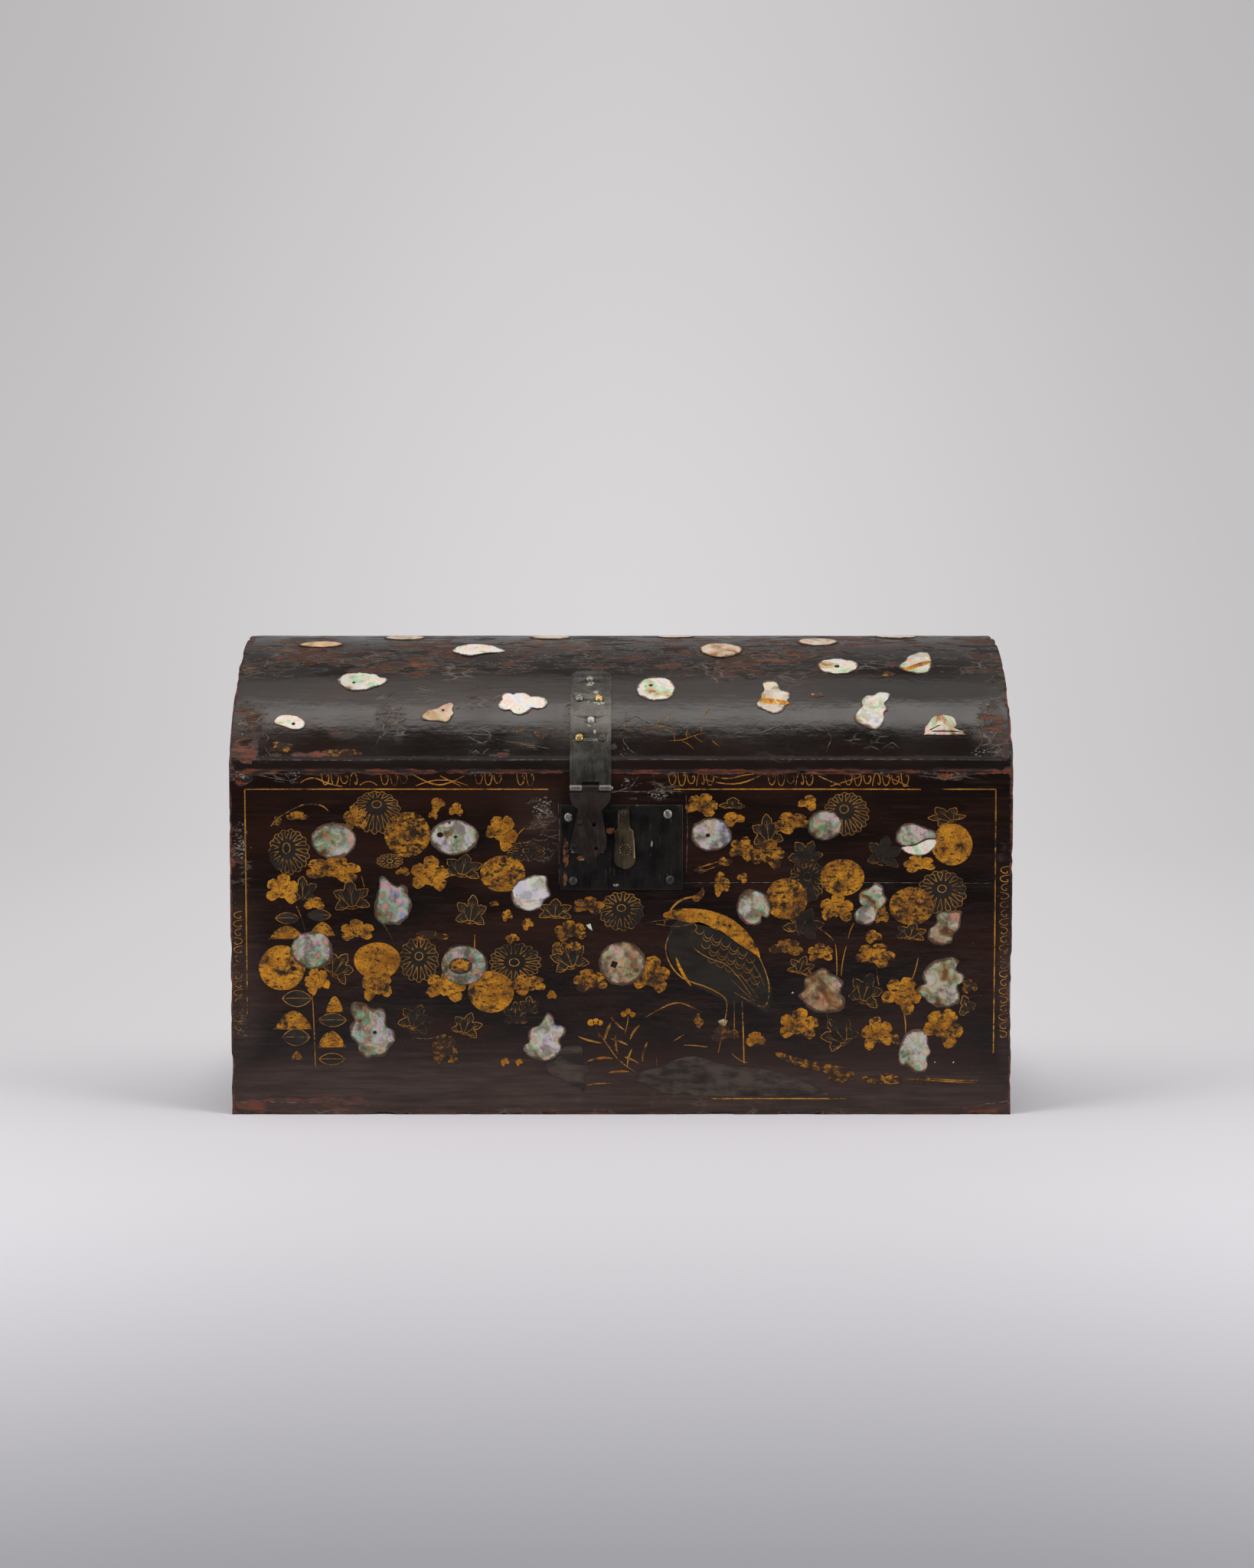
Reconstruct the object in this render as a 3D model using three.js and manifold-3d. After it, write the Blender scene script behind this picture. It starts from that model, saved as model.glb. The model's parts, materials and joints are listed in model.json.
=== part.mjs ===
// A black lacquered wooden coffer with a domed, hinged lid and a hasp lock.
// Millimetres. The origin is the centre of the underside. +X is the viewer's right, the front faces -Y and
// +Z is up.
import * as THREE from 'three';
import { mergeVertices } from 'three/addons/utils/BufferGeometryUtils.js';
import Module from 'manifold-3d';

const wasm = await Module();
wasm.setup();

// Carcase
const width = 450;
const depth = 226;
const bodyHeight = 198.4;
const bottomThickness = 10;
const boardThickness = 11;
const boardSeamHeight = 133.2;

// Lid: a rim, two D-shaped ends and a vault of staves
const rimHeight = 6;
const domeRise = 73;
const staveCount = 6;
const staveThickness = 9;
const staveFacets = 4;
const lidEndThickness = 10;
const lidEndFacets = 20;

// Clearances
const gluedGap = 0.3;
const headGap = 0.15;
const runningGap = 0.3;
const looseGap = 0.5;
const overrun = 1;

// Hinges in general
const knuckleSides = 16;
const pinProud = 1.2;

// Hasp strap on the front of the lid
const strapX = -17.6;
const strapWidth = 23.6;
const strapThickness = 1.2;
const strapArcLength = 65.5;
const strapChamfer = 3.2;
const strapFacet = 6;
const strapNotchWidth = 10;
const strapNotchHeight = 3.6;
const haspPinZ = 189;
const haspKnuckleRadius = 2;
const haspBoreRadius = 1.25;
const haspPinRadius = 0.95;
const haspPinTail = 0.2;

// Hasp leaf, drawn flat against the lock plate, and the angle at which it hangs away from it
const haspLeafThickness = 1.3;
const haspLeafSetBack = 0.3;
const haspHangAngle = THREE.MathUtils.degToRad(11);
const haspHoleRadius = 1.2;
const haspRivetRadius = 0.9;
const haspRivetHeadRadius = 1.6;
const haspRivetHeadHeight = 0.45;

// Staple on the back of the hasp leaf
const footThickness = 0.7;
const stapleX = -20;
const stapleZ = 157;
const stapleThickness = 2.2;
const stapleHeight = 8;
const stapleEyeWall = 1.1;
const stapleSwingBelow = 1.2;
const stapleSwingAbove = 0.9;

// Lock plate
const plateLeft = -34.8;
const plateRight = 35.3;
const plateBottom = 130.6;
const plateTop = 179.2;
const plateThickness = 1.2;
const keyholeX = 1.6;
const keyholeZ = 150.5;
const keyholeRadius = 1.9;
const keySlotWidth = 1.8;
const keySlotLength = 6;

// Lock works behind the plate
const caseLeft = -30;
const caseRight = 22;
const caseBottom = 140;
const caseTop = 167;
const caseDepth = 6.6;
const caseWall = 0.8;
const boltLength = 35.7;
const boltHeight = 3.6;
const boltThickness = 1.8;
const boltClearOfStaple = 1.2;
const boltNotchWidth = 3.6;
const boltNotchHeight = 1.2;
const keeperCentres = { left: -25.5, middle: -12, right: 10 };
const keeperWidth = 4;
const keeperWall = 1.6;
const keeperSetBack = 0.1;
const springThickness = 0.5;
const springWidth = 4;

// Keyhole cover
const coverPivotX = 1.3;
const coverPivotZ = 174.6;
const coverLean = THREE.MathUtils.degToRad(1.5);
const coverThickness = 1.3;
const coverNeckHalf = 3.3;
const coverBodyHalf = 6.2;
const coverLength = 32.2;

// Back hinges
const backHingeX = 140;
const backLeafWidth = 24;
const backLeafThickness = 1.4;
const backLeafLength = 32;
const lidLeafArcLength = 27;
const backKnuckleRadius = 2.5;
const backBoreRadius = 1.3;
const backPinRadius = 1;
const backMiddleKnuckle = 8;
const lidOpenAngle = THREE.MathUtils.degToRad(105);
const stopLength = 6;
const stopThickness = 1.5;
const backPinTail = 0.6;
const bodyLeafScrewDrops = [9, 25];
const lidLeafScrewArcs = [7, 20];
const leafScrewOffset = 5;

// Fasteners
const screw = { headRadius: 2.6, headHeight: 1.2, shankRadius: 1.1, shankLength: 7 };
const leafScrew = { headRadius: 2.3, headHeight: 1, shankRadius: 1, shankLength: 6.4 };
const nail = { headRadius: 2.5, headHeight: 1.1, shankRadius: 1, shankLength: 6.5 };
const domedRivet = { headRadius: 2.7, headHeight: 1.7, shankRadius: 1.3, shankLength: 7 };
const pivotRivet = { headRadius: 1.7, headHeight: 0.7, shankRadius: 0.9, shankLength: 5 };
const slotWidth = 0.7;
const slotDepth = 0.55;
const fastenerSides = 12;
const drillAbove = 4;

// Colours and finishes
const lacquer = new THREE.MeshStandardMaterial({ color: 0x15110f, roughness: 0.35, metalness: 0 });
const strapIron = new THREE.MeshStandardMaterial({ color: 0x4a4946, roughness: 0.45, metalness: 0.9 });
const darkIron = new THREE.MeshStandardMaterial({ color: 0x26211f, roughness: 0.5, metalness: 0.8 });
const steel = new THREE.MeshStandardMaterial({ color: 0xb9b2a8, roughness: 0.35, metalness: 1 });
const brass = new THREE.MeshStandardMaterial({ color: 0xb08a3c, roughness: 0.35, metalness: 1 });

// Values that follow from the sizes above
const halfWidth = width / 2;
const halfDepth = depth / 2;
const rimThickness = boardThickness;
const rimTop = bodyHeight + rimHeight;
const domeRadius = (halfDepth ** 2 + domeRise ** 2) / (2 * domeRise);
const domeCentreZ = rimTop + domeRise - domeRadius;
const domeStart = Math.asin((rimTop - domeCentreZ) / domeRadius);
const domeSweep = Math.PI - 2 * domeStart;
const innerDomeRadius = domeRadius - staveThickness;
const plateFront = -halfDepth - plateThickness;
const haspStackDepth = runningGap + footThickness + gluedGap + haspLeafSetBack;
const haspPinY = plateFront - haspStackDepth;
const backPinY = halfDepth + runningGap + backKnuckleRadius;
const backPinZ = bodyHeight;
const boltFront = -halfDepth + runningGap;
const boltBack = boltFront + boltThickness;
const boltLeft = stapleX + stapleThickness / 2 + boltClearOfStaple;

// A geometry as a solid, and back
function toSolid(geometry) {
  const bare = geometry.clone();
  bare.deleteAttribute('normal');
  bare.deleteAttribute('uv');
  const merged = mergeVertices(bare, 1e-4);
  const vertProperties = new Float32Array(merged.attributes.position.array);
  const triVerts = new Uint32Array(merged.index.array);
  return new wasm.Manifold(new wasm.Mesh({ numProp: 3, vertProperties, triVerts }));
}

function toGeometry(solid) {
  const mesh = solid.getMesh();
  const geometry = new THREE.BufferGeometry();
  geometry.setAttribute('position', new THREE.BufferAttribute(mesh.vertProperties, 3));
  geometry.setIndex(new THREE.BufferAttribute(mesh.triVerts, 1));
  return geometry.toNonIndexed();
}

// Joins the first list of geometries and cuts the second list away
function shaped(joined, removed = []) {
  let solid = toSolid(joined[0]);
  for (const geometry of joined.slice(1)) {
    solid = solid.add(toSolid(geometry));
  }
  for (const geometry of removed) {
    solid = solid.subtract(toSolid(geometry));
  }
  const geometry = toGeometry(solid);
  geometry.computeVertexNormals();
  return geometry;
}

// A block between two corners
function block(low, high) {
  const size = high.map((value, axis) => value - low[axis]);
  const geometry = new THREE.BoxGeometry(...size);
  geometry.translate(...high.map((value, axis) => (value + low[axis]) / 2));
  return geometry;
}

// A rod along X between two ends
function rod(radius, x0, x1, y, z, sides = knuckleSides) {
  const geometry = new THREE.CylinderGeometry(radius, radius, x1 - x0, sides);
  geometry.rotateZ(Math.PI / 2);
  geometry.translate((x0 + x1) / 2, y, z);
  return geometry;
}

// An outline in Y and Z, drawn out along X
function alongX(outline, x0, x1) {
  const shape = new THREE.Shape(outline.map(([y, z]) => new THREE.Vector2(y, z)));
  const geometry = new THREE.ExtrudeGeometry(shape, { depth: x1 - x0, bevelEnabled: false });
  const turned = new THREE.Matrix4().makeBasis(
    new THREE.Vector3(0, 1, 0),
    new THREE.Vector3(0, 0, 1),
    new THREE.Vector3(1, 0, 0),
  );
  geometry.applyMatrix4(turned);
  geometry.translate(x0, 0, 0);
  return geometry;
}

// A shape in X and Z, drawn out towards the front from yBack to yFront
function alongY(shape, yBack, yFront, curveSegments = 5) {
  const options = { depth: yBack - yFront, bevelEnabled: false, curveSegments };
  const geometry = new THREE.ExtrudeGeometry(shape, options);
  geometry.rotateX(Math.PI / 2);
  geometry.translate(0, yBack, 0);
  return geometry;
}

// A point in Y and Z at a radius about the dome's centre; the angle runs from the front over the crown
function domePoint(radius, angle) {
  return [-radius * Math.cos(angle), domeCentreZ + radius * Math.sin(angle)];
}

function domeArc(radius, from, to, facets) {
  const points = [];
  for (let i = 0; i <= facets; i += 1) {
    points.push(domePoint(radius, from + ((to - from) * i) / facets));
  }
  return points;
}

// Seats: places on a surface, each with its own +Z pointing out of the surface
function frontSeat(x, z, standOff) {
  const seat = new THREE.Matrix4().makeRotationX(Math.PI / 2);
  return seat.setPosition(x, -halfDepth - standOff, z);
}

function backSeat(x, z, standOff) {
  const seat = new THREE.Matrix4().makeRotationX(-Math.PI / 2);
  return seat.setPosition(x, halfDepth + standOff, z);
}

// side is -1 on the front of the dome and 1 on the back; the arc length is measured up from the rim
function domeSeat(x, side, arcLength, standOff) {
  const angle = domeStart + arcLength / domeRadius;
  const [y, z] = domePoint(domeRadius + standOff, angle);
  const seat = new THREE.Matrix4().makeRotationX(-side * (Math.PI / 2 - angle));
  return seat.setPosition(x, -side * y, z);
}

// A round hole through a seat, from a depth below it to a height above it
function drilled(seat, radius, below, above = drillAbove) {
  const geometry = new THREE.CylinderGeometry(radius, radius, below + above, fastenerSides);
  geometry.rotateX(Math.PI / 2);
  geometry.translate(0, 0, (above - below) / 2);
  return geometry.applyMatrix4(seat);
}

function clearHole(seat, fastener) {
  return drilled(seat, fastener.shankRadius + runningGap, fastener.shankLength + runningGap);
}

// A turned fastener with a low domed head; a slot is cut across the head where slotAngle is given
function turnedFastener({ headRadius, headHeight, shankRadius, shankLength }, slotAngle) {
  const tipLength = Math.min(2, shankLength / 3);
  const profile = [
    [0, -shankLength],
    [shankRadius, tipLength - shankLength],
    [shankRadius, 0],
    [headRadius, 0],
    [headRadius, 0.35 * headHeight],
    [0.72 * headRadius, 0.85 * headHeight],
    [0, headHeight],
  ];
  const points = profile.map(([radius, height]) => new THREE.Vector2(radius, height));
  const geometry = new THREE.LatheGeometry(points, fastenerSides);
  geometry.rotateX(Math.PI / 2);
  if (slotAngle === undefined) {
    return shaped([geometry]);
  }
  const reach = headRadius + overrun;
  const slot = block(
    [-reach, -slotWidth / 2, headHeight - slotDepth],
    [reach, slotWidth / 2, headHeight + slotDepth],
  );
  slot.rotateZ(slotAngle);
  return shaped([geometry], [slot]);
}

function part(name, geometry, material) {
  const mesh = new THREE.Mesh(geometry, material);
  mesh.name = name;
  return mesh;
}

function fastened(name, fastener, seat, material, slotAngle) {
  const mesh = part(name, turnedFastener(fastener, slotAngle), material);
  mesh.applyMatrix4(seat);
  return mesh;
}

const coffer = new THREE.Group();
const body = new THREE.Group();
const lid = new THREE.Group();
coffer.add(body, lid);

// Places of the fasteners, each with the height of its head's seat over the wood
const plateSeatHeight = plateThickness + headGap;
const plateScrews = [
  { name: 'lock_plate_screw_upper_left', x: -30.3, z: 172.2, slotAngle: -0.95, material: steel },
  { name: 'lock_plate_screw_upper_right', x: 26.7, z: 174, slotAngle: -0.9, material: steel },
  { name: 'lock_plate_screw_lower_left', x: -27.6, z: 135.6, slotAngle: 1.1, material: darkIron },
  { name: 'lock_plate_screw_lower_right', x: 28, z: 136.2, slotAngle: 0.8, material: darkIron },
].map((item) => ({ ...item, seat: frontSeat(item.x, item.z, plateSeatHeight) }));

const strapSeatHeight = gluedGap + strapThickness + headGap;
const strapFasteners = [
  { name: 'strap_nail', kind: nail, x: -18.3, arc: 58.2, material: darkIron },
  { name: 'strap_screw_upper_left', kind: screw, x: -24.3, arc: 42.2, slotAngle: 0.4, material: steel },
  { name: 'strap_screw_upper_right', kind: screw, x: -12.9, arc: 42, slotAngle: -0.8, material: brass },
  { name: 'strap_rivet', kind: domedRivet, x: -17.5, arc: 25.6, material: darkIron },
  { name: 'strap_screw_lower_left', kind: screw, x: -24.1, arc: 14.1, slotAngle: 1, material: brass },
  { name: 'strap_screw_lower_right', kind: screw, x: -10.9, arc: 14.1, slotAngle: 1.5, material: steel },
].map((item) => ({ ...item, seat: domeSeat(item.x, -1, item.arc, strapSeatHeight) }));

const sides = { left: -1, right: 1 };
const bodyLeafScrews = [];
const lidLeafScrews = [];
for (const [side, sign] of Object.entries(sides)) {
  const centre = sign * backHingeX;
  bodyLeafScrewDrops.forEach((drop, index) => {
    const offset = index === 0 ? leafScrewOffset : -leafScrewOffset;
    bodyLeafScrews.push({
      side,
      name: `body_leaf_screw_${side}_${index + 1}`,
      slotAngle: 0.5 + index + sign,
      seat: backSeat(centre + offset, backPinZ - drop, backLeafThickness + headGap),
    });
  });
  lidLeafScrewArcs.forEach((arc, index) => {
    const offset = index === 0 ? -leafScrewOffset : leafScrewOffset;
    lidLeafScrews.push({
      side,
      name: `lid_leaf_screw_${side}_${index + 1}`,
      slotAngle: 0.8 - index + sign,
      seat: domeSeat(centre + offset, 1, arc, gluedGap + backLeafThickness + headGap),
    });
  });
}

const coverSeatHeight = plateThickness + runningGap + coverThickness + headGap;
const coverRivetSeat = frontSeat(coverPivotX, coverPivotZ, coverSeatHeight);

// Mortise in the front board for the lock case
const mortise = block(
  [caseLeft - gluedGap, -halfDepth - overrun, caseBottom - gluedGap],
  [caseRight + gluedGap, -halfDepth + caseDepth + gluedGap, caseTop + gluedGap],
);

// Carcase boards: the front and back run full width, and the ends stand between them
const frontY = -halfDepth + boardThickness;
const backY = halfDepth - boardThickness;
const lowX = -halfWidth;
const highX = halfWidth;

body.add(part(
  'bottom_board',
  block([lowX, -halfDepth, 0], [highX, halfDepth, bottomThickness]),
  lacquer,
));
body.add(part(
  'front_board_lower',
  block([lowX, -halfDepth, bottomThickness], [highX, frontY, boardSeamHeight]),
  lacquer,
));
body.add(part(
  'front_board_upper',
  shaped(
    [block([lowX, -halfDepth, boardSeamHeight], [highX, frontY, bodyHeight])],
    [
      mortise,
      ...plateScrews.map(({ seat }) => clearHole(seat, screw)),
      clearHole(coverRivetSeat, pivotRivet),
    ],
  ),
  lacquer,
));
body.add(part(
  'back_board_lower',
  block([lowX, backY, bottomThickness], [highX, halfDepth, boardSeamHeight]),
  lacquer,
));
body.add(part(
  'back_board_upper',
  shaped(
    [block([lowX, backY, boardSeamHeight], [highX, halfDepth, bodyHeight])],
    bodyLeafScrews.map(({ seat }) => clearHole(seat, leafScrew)),
  ),
  lacquer,
));
body.add(part(
  'left_end_board',
  block([lowX, frontY, bottomThickness], [lowX + boardThickness, backY, bodyHeight]),
  lacquer,
));
body.add(part(
  'right_end_board',
  block([highX - boardThickness, frontY, bottomThickness], [highX, backY, bodyHeight]),
  lacquer,
));

// Lid rim battens, full width, resting on the front and back boards
lid.add(part(
  'lid_front_rim',
  block([lowX, -halfDepth, bodyHeight], [highX, -halfDepth + rimThickness, rimTop]),
  lacquer,
));
lid.add(part(
  'lid_back_rim',
  block([lowX, halfDepth - rimThickness, bodyHeight], [highX, halfDepth, rimTop]),
  lacquer,
));

// D-shaped ends: flat below, round above, inside the staves
function lidEndOutline() {
  const radius = innerDomeRadius - gluedGap;
  const flatHalf = halfDepth - rimThickness;
  const start = Math.acos(Math.min(1, flatHalf / radius));
  const arc = domeArc(radius, start, Math.PI - start, lidEndFacets);
  return [[flatHalf, bodyHeight], ...arc.reverse(), [-flatHalf, bodyHeight]];
}

lid.add(part('lid_left_end', alongX(lidEndOutline().reverse(), lowX, lowX + lidEndThickness), lacquer));
lid.add(part('lid_right_end', alongX(lidEndOutline().reverse(), highX - lidEndThickness, highX), lacquer));

// Staves of the vault; the first and last stand flat on the rim
function staveOutline(index) {
  const step = domeSweep / staveCount;
  const halfGap = gluedGap / 2 / domeRadius;
  const from = domeStart + index * step + (index === 0 ? 0 : halfGap);
  const to = domeStart + (index + 1) * step - (index === staveCount - 1 ? 0 : halfGap);
  const footAngle = Math.asin((rimTop - domeCentreZ) / innerDomeRadius);
  const innerFrom = Math.max(from, footAngle);
  const innerTo = Math.min(to, Math.PI - footAngle);
  return [
    ...domeArc(domeRadius, from, to, staveFacets),
    ...domeArc(innerDomeRadius, innerTo, innerFrom, staveFacets),
  ];
}

const domeFasteners = [
  ...strapFasteners.map(({ seat, kind }) => clearHole(seat, kind)),
  ...lidLeafScrews.map(({ seat }) => clearHole(seat, leafScrew)),
];
for (let index = 0; index < staveCount; index += 1) {
  const stave = alongX(staveOutline(index), lowX, highX);
  lid.add(part(`lid_stave_${index + 1}`, shaped([stave], domeFasteners), lacquer));
}

// A strip of metal that climbs the rim from a starting height and follows the dome
function strapOutline(thickness, fromZ, arcLength) {
  const near = domeRadius + gluedGap;
  const far = near + thickness;
  const end = domeStart + arcLength / domeRadius;
  const facets = Math.max(3, Math.round(arcLength / strapFacet));
  return [
    [-halfDepth - gluedGap, fromZ],
    [-halfDepth - gluedGap, rimTop],
    ...domeArc(near, domeStart, end, facets).slice(1),
    ...domeArc(far, end, domeStart, facets).slice(0, -1),
    [-halfDepth - gluedGap - thickness, rimTop],
    [-halfDepth - gluedGap - thickness, fromZ],
  ].reverse();
}

// A wedge that takes off one top corner of the strap
function strapCorner(sign) {
  const reach = strapChamfer * Math.SQRT1_2;
  const tall = 10 * overrun;
  const cutter = block([-reach, -reach, -tall], [reach, reach, tall]);
  cutter.rotateZ(Math.PI / 4);
  return cutter.applyMatrix4(domeSeat(strapX + (sign * strapWidth) / 2, -1, strapArcLength, 0));
}

const strapLeft = strapX - strapWidth / 2;
const strapRight = strapX + strapWidth / 2;
const notchLeft = strapX - strapNotchWidth / 2;
const notchRight = strapX + strapNotchWidth / 2;
lid.add(part(
  'hasp_strap',
  shaped(
    [
      alongX(strapOutline(strapThickness, haspPinZ, strapArcLength), strapLeft, strapRight),
      rod(haspKnuckleRadius, strapLeft, strapRight, haspPinY, haspPinZ),
    ],
    [
      block(
        [notchLeft, haspPinY - 2 * haspKnuckleRadius, haspPinZ - 2 * haspKnuckleRadius],
        [notchRight, -halfDepth, haspPinZ + strapNotchHeight],
      ),
      rod(haspBoreRadius, strapLeft - overrun, strapRight + overrun, haspPinY, haspPinZ),
      strapCorner(-1),
      strapCorner(1),
      ...strapFasteners.map(({ seat, kind }) => clearHole(seat, kind)),
    ],
  ),
  strapIron,
));
for (const { name, kind, seat, slotAngle, material } of strapFasteners) {
  lid.add(fastened(name, kind, seat, material, slotAngle));
}
lid.add(part(
  'hasp_hinge_pin',
  shaped([
    rod(haspPinRadius, strapLeft - haspPinTail, strapRight + pinProud, haspPinY, haspPinZ, fastenerSides),
  ]),
  darkIron,
));

// Hasp, in its own group about its hinge pin and turned out to where it hangs. In this group a depth of
// nought is the pin's own, and the staple's foot lies behind the leaf.
const hasp = new THREE.Group();
hasp.position.set(strapX, haspPinY, haspPinZ);
hasp.rotation.x = -haspHangAngle;
lid.add(hasp);

const leafFrontY = haspLeafSetBack - haspLeafThickness;
const footFrontY = haspLeafSetBack + gluedGap;
const footBackY = footFrontY + footThickness;
const haspHoles = [
  { x: -6, z: -20, riveted: true },
  { x: -9.4, z: -33.8, riveted: true },
  { x: 2.1, z: -21.3, riveted: false },
  { x: 3.3, z: -34.8, riveted: false },
];

function haspLeafShape() {
  const shoulder = -haspKnuckleRadius - looseGap;
  const shape = new THREE.Shape();
  shape.moveTo(-11.8, shoulder);
  shape.lineTo(-11.8, -5);
  shape.quadraticCurveTo(-11, -10.4, -6.8, -12.4);
  shape.lineTo(-11.6, -35.3);
  shape.lineTo(-10.2, -36.5);
  shape.lineTo(-6.3, -38.3);
  shape.lineTo(-2.6, -41);
  shape.lineTo(-2.2, -43.8);
  shape.lineTo(3.4, -43.8);
  shape.lineTo(3, -40.6);
  shape.lineTo(4.4, -38.8);
  shape.lineTo(9, -35.2);
  shape.lineTo(9.2, -30);
  shape.lineTo(6.4, -12.4);
  shape.quadraticCurveTo(10.8, -10, 11.6, -5);
  shape.lineTo(11.6, shoulder);
  return shape;
}

function haspDrill({ x, z }, radius) {
  return rodAlongY(radius, x, z, leafFrontY - overrun, footBackY + overrun);
}

// A rod along Y between two depths
function rodAlongY(radius, x, z, y0, y1) {
  const geometry = new THREE.CylinderGeometry(radius, radius, y1 - y0, fastenerSides);
  geometry.translate(x, (y0 + y1) / 2, z);
  return geometry;
}

const tongueHalf = strapNotchWidth / 2 - runningGap;
hasp.add(part(
  'hasp_leaf',
  shaped(
    [
      alongY(haspLeafShape(), haspLeafSetBack, leafFrontY),
      block([-tongueHalf, leafFrontY, -haspKnuckleRadius - 1], [tongueHalf, haspLeafSetBack, 0]),
      rod(haspKnuckleRadius, -tongueHalf, tongueHalf, 0, 0),
    ],
    [
      rod(haspBoreRadius, -strapWidth, strapWidth, 0, 0),
      ...haspHoles.map((hole) => haspDrill(hole, haspHoleRadius)),
    ],
  ),
  darkIron,
));

// Staple: a foot behind the leaf and an upright eye that enters the lock plate
const eyeX = stapleX - strapX;
const eyeZ = stapleZ - haspPinZ;
const eyeFrontY = boltFront - runningGap - haspPinY;
const eyeBackY = boltBack + runningGap - haspPinY;
const eyeHalf = boltHeight / 2 + looseGap;
const stapleBackY = eyeBackY + stapleEyeWall;

function stapleFootShape() {
  const shape = new THREE.Shape();
  shape.moveTo(-7.6, -18);
  shape.lineTo(-11, -37.2);
  shape.lineTo(7.4, -37.2);
  shape.lineTo(5.4, -18);
  return shape;
}

hasp.add(part(
  'hasp_staple',
  shaped(
    [
      alongY(stapleFootShape(), footBackY, footFrontY),
      block(
        [eyeX - stapleThickness / 2, footFrontY, eyeZ - stapleHeight / 2],
        [eyeX + stapleThickness / 2, stapleBackY, eyeZ + stapleHeight / 2],
      ),
    ],
    [
      block(
        [eyeX - stapleThickness, eyeFrontY, eyeZ - eyeHalf],
        [eyeX + stapleThickness, eyeBackY, eyeZ + eyeHalf],
      ),
      ...haspHoles.map((hole) => haspDrill(hole, haspHoleRadius)),
    ],
  ),
  darkIron,
));

// Rivets that hold the staple, flush at the back
haspHoles.filter(({ riveted }) => riveted).forEach(({ x, z }, index) => {
  const headBack = leafFrontY - headGap;
  hasp.add(part(
    `staple_rivet_${index + 1}`,
    shaped([
      rodAlongY(haspRivetRadius, x, z, headBack - haspRivetHeadHeight / 2, footBackY),
      rodAlongY(haspRivetHeadRadius, x, z, headBack - haspRivetHeadHeight, headBack),
    ]),
    darkIron,
  ));
});

// Lock plate with its keyhole and the slot for the staple
function stapleSlot() {
  const halfSlot = stapleThickness / 2 + looseGap;
  const low = stapleZ - stapleHeight / 2 - stapleSwingBelow;
  const high = stapleZ + stapleHeight / 2 + stapleSwingAbove;
  return block(
    [stapleX - halfSlot, plateFront - overrun, low],
    [stapleX + halfSlot, -halfDepth + overrun, high],
  );
}

body.add(part(
  'lock_plate',
  shaped(
    [block([plateLeft, plateFront, plateBottom], [plateRight, -halfDepth, plateTop])],
    [
      stapleSlot(),
      rodAlongY(keyholeRadius, keyholeX, keyholeZ, plateFront - overrun, -halfDepth + overrun),
      block(
        [keyholeX - keySlotWidth / 2, plateFront - overrun, keyholeZ - keySlotLength],
        [keyholeX + keySlotWidth / 2, -halfDepth + overrun, keyholeZ],
      ),
      ...plateScrews.map(({ seat }) => clearHole(seat, screw)),
      clearHole(coverRivetSeat, pivotRivet),
    ],
  ),
  darkIron,
));
for (const { name, seat, slotAngle, material } of plateScrews) {
  body.add(fastened(name, screw, seat, material, slotAngle));
}

// Lock case: a tray let into the mortise, open towards the plate
const caseFrontY = -halfDepth;
const caseBackY = -halfDepth + caseDepth;
const caseFloorY = caseBackY - caseWall;
body.add(part(
  'lock_case',
  shaped(
    [block([caseLeft, caseFrontY, caseBottom], [caseRight, caseBackY, caseTop])],
    [
      block(
        [caseLeft + caseWall, caseFrontY - overrun, caseBottom + caseWall],
        [caseRight - caseWall, caseFloorY, caseTop - caseWall],
      ),
    ],
  ),
  darkIron,
));

// Keepers that guide the bolt, standing on the floor of the case
const keeperHalfHeight = boltHeight / 2 + keeperWall;
for (const [side, centre] of Object.entries(keeperCentres)) {
  body.add(part(
    `bolt_keeper_${side}`,
    shaped(
      [
        block(
          [centre - keeperWidth / 2, caseFrontY + keeperSetBack, stapleZ - keeperHalfHeight],
          [centre + keeperWidth / 2, caseFloorY, stapleZ + keeperHalfHeight],
        ),
      ],
      [
        block(
          [centre - keeperWidth, caseFrontY - overrun, stapleZ - boltHeight / 2 - runningGap],
          [centre + keeperWidth, boltBack + runningGap, stapleZ + boltHeight / 2 + runningGap],
        ),
      ],
    ),
    darkIron,
  ));
}

// Bolt, drawn back clear of the staple, with a notch below for the key
const boltGroup = new THREE.Group();
body.add(boltGroup);
boltGroup.add(part(
  'lock_bolt',
  shaped(
    [
      block(
        [boltLeft, boltFront, stapleZ - boltHeight / 2],
        [boltLeft + boltLength, boltBack, stapleZ + boltHeight / 2],
      ),
    ],
    [
      block(
        [keyholeX - boltNotchWidth / 2, boltFront - overrun, stapleZ - boltHeight],
        [keyholeX + boltNotchWidth / 2, boltBack + overrun, stapleZ - boltHeight / 2 + boltNotchHeight],
      ),
    ],
  ),
  steel,
));

// Leaf spring that presses on the bolt: its foot is fixed under the top of the case
function springShape() {
  const top = caseTop - caseWall;
  const low = stapleZ + boltHeight / 2 + runningGap;
  const shape = new THREE.Shape();
  shape.moveTo(6, top);
  shape.lineTo(-1, top);
  shape.lineTo(-7, low + springThickness);
  shape.lineTo(-8.6, low + 2 * springThickness);
  shape.lineTo(-8.6, low + springThickness);
  shape.lineTo(-7, low);
  shape.lineTo(-0.6, top - springThickness);
  shape.lineTo(6, top - springThickness);
  return shape;
}

body.add(part(
  'bolt_spring',
  shaped([alongY(springShape(), boltFront + springWidth, boltFront)]),
  steel,
));

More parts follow.
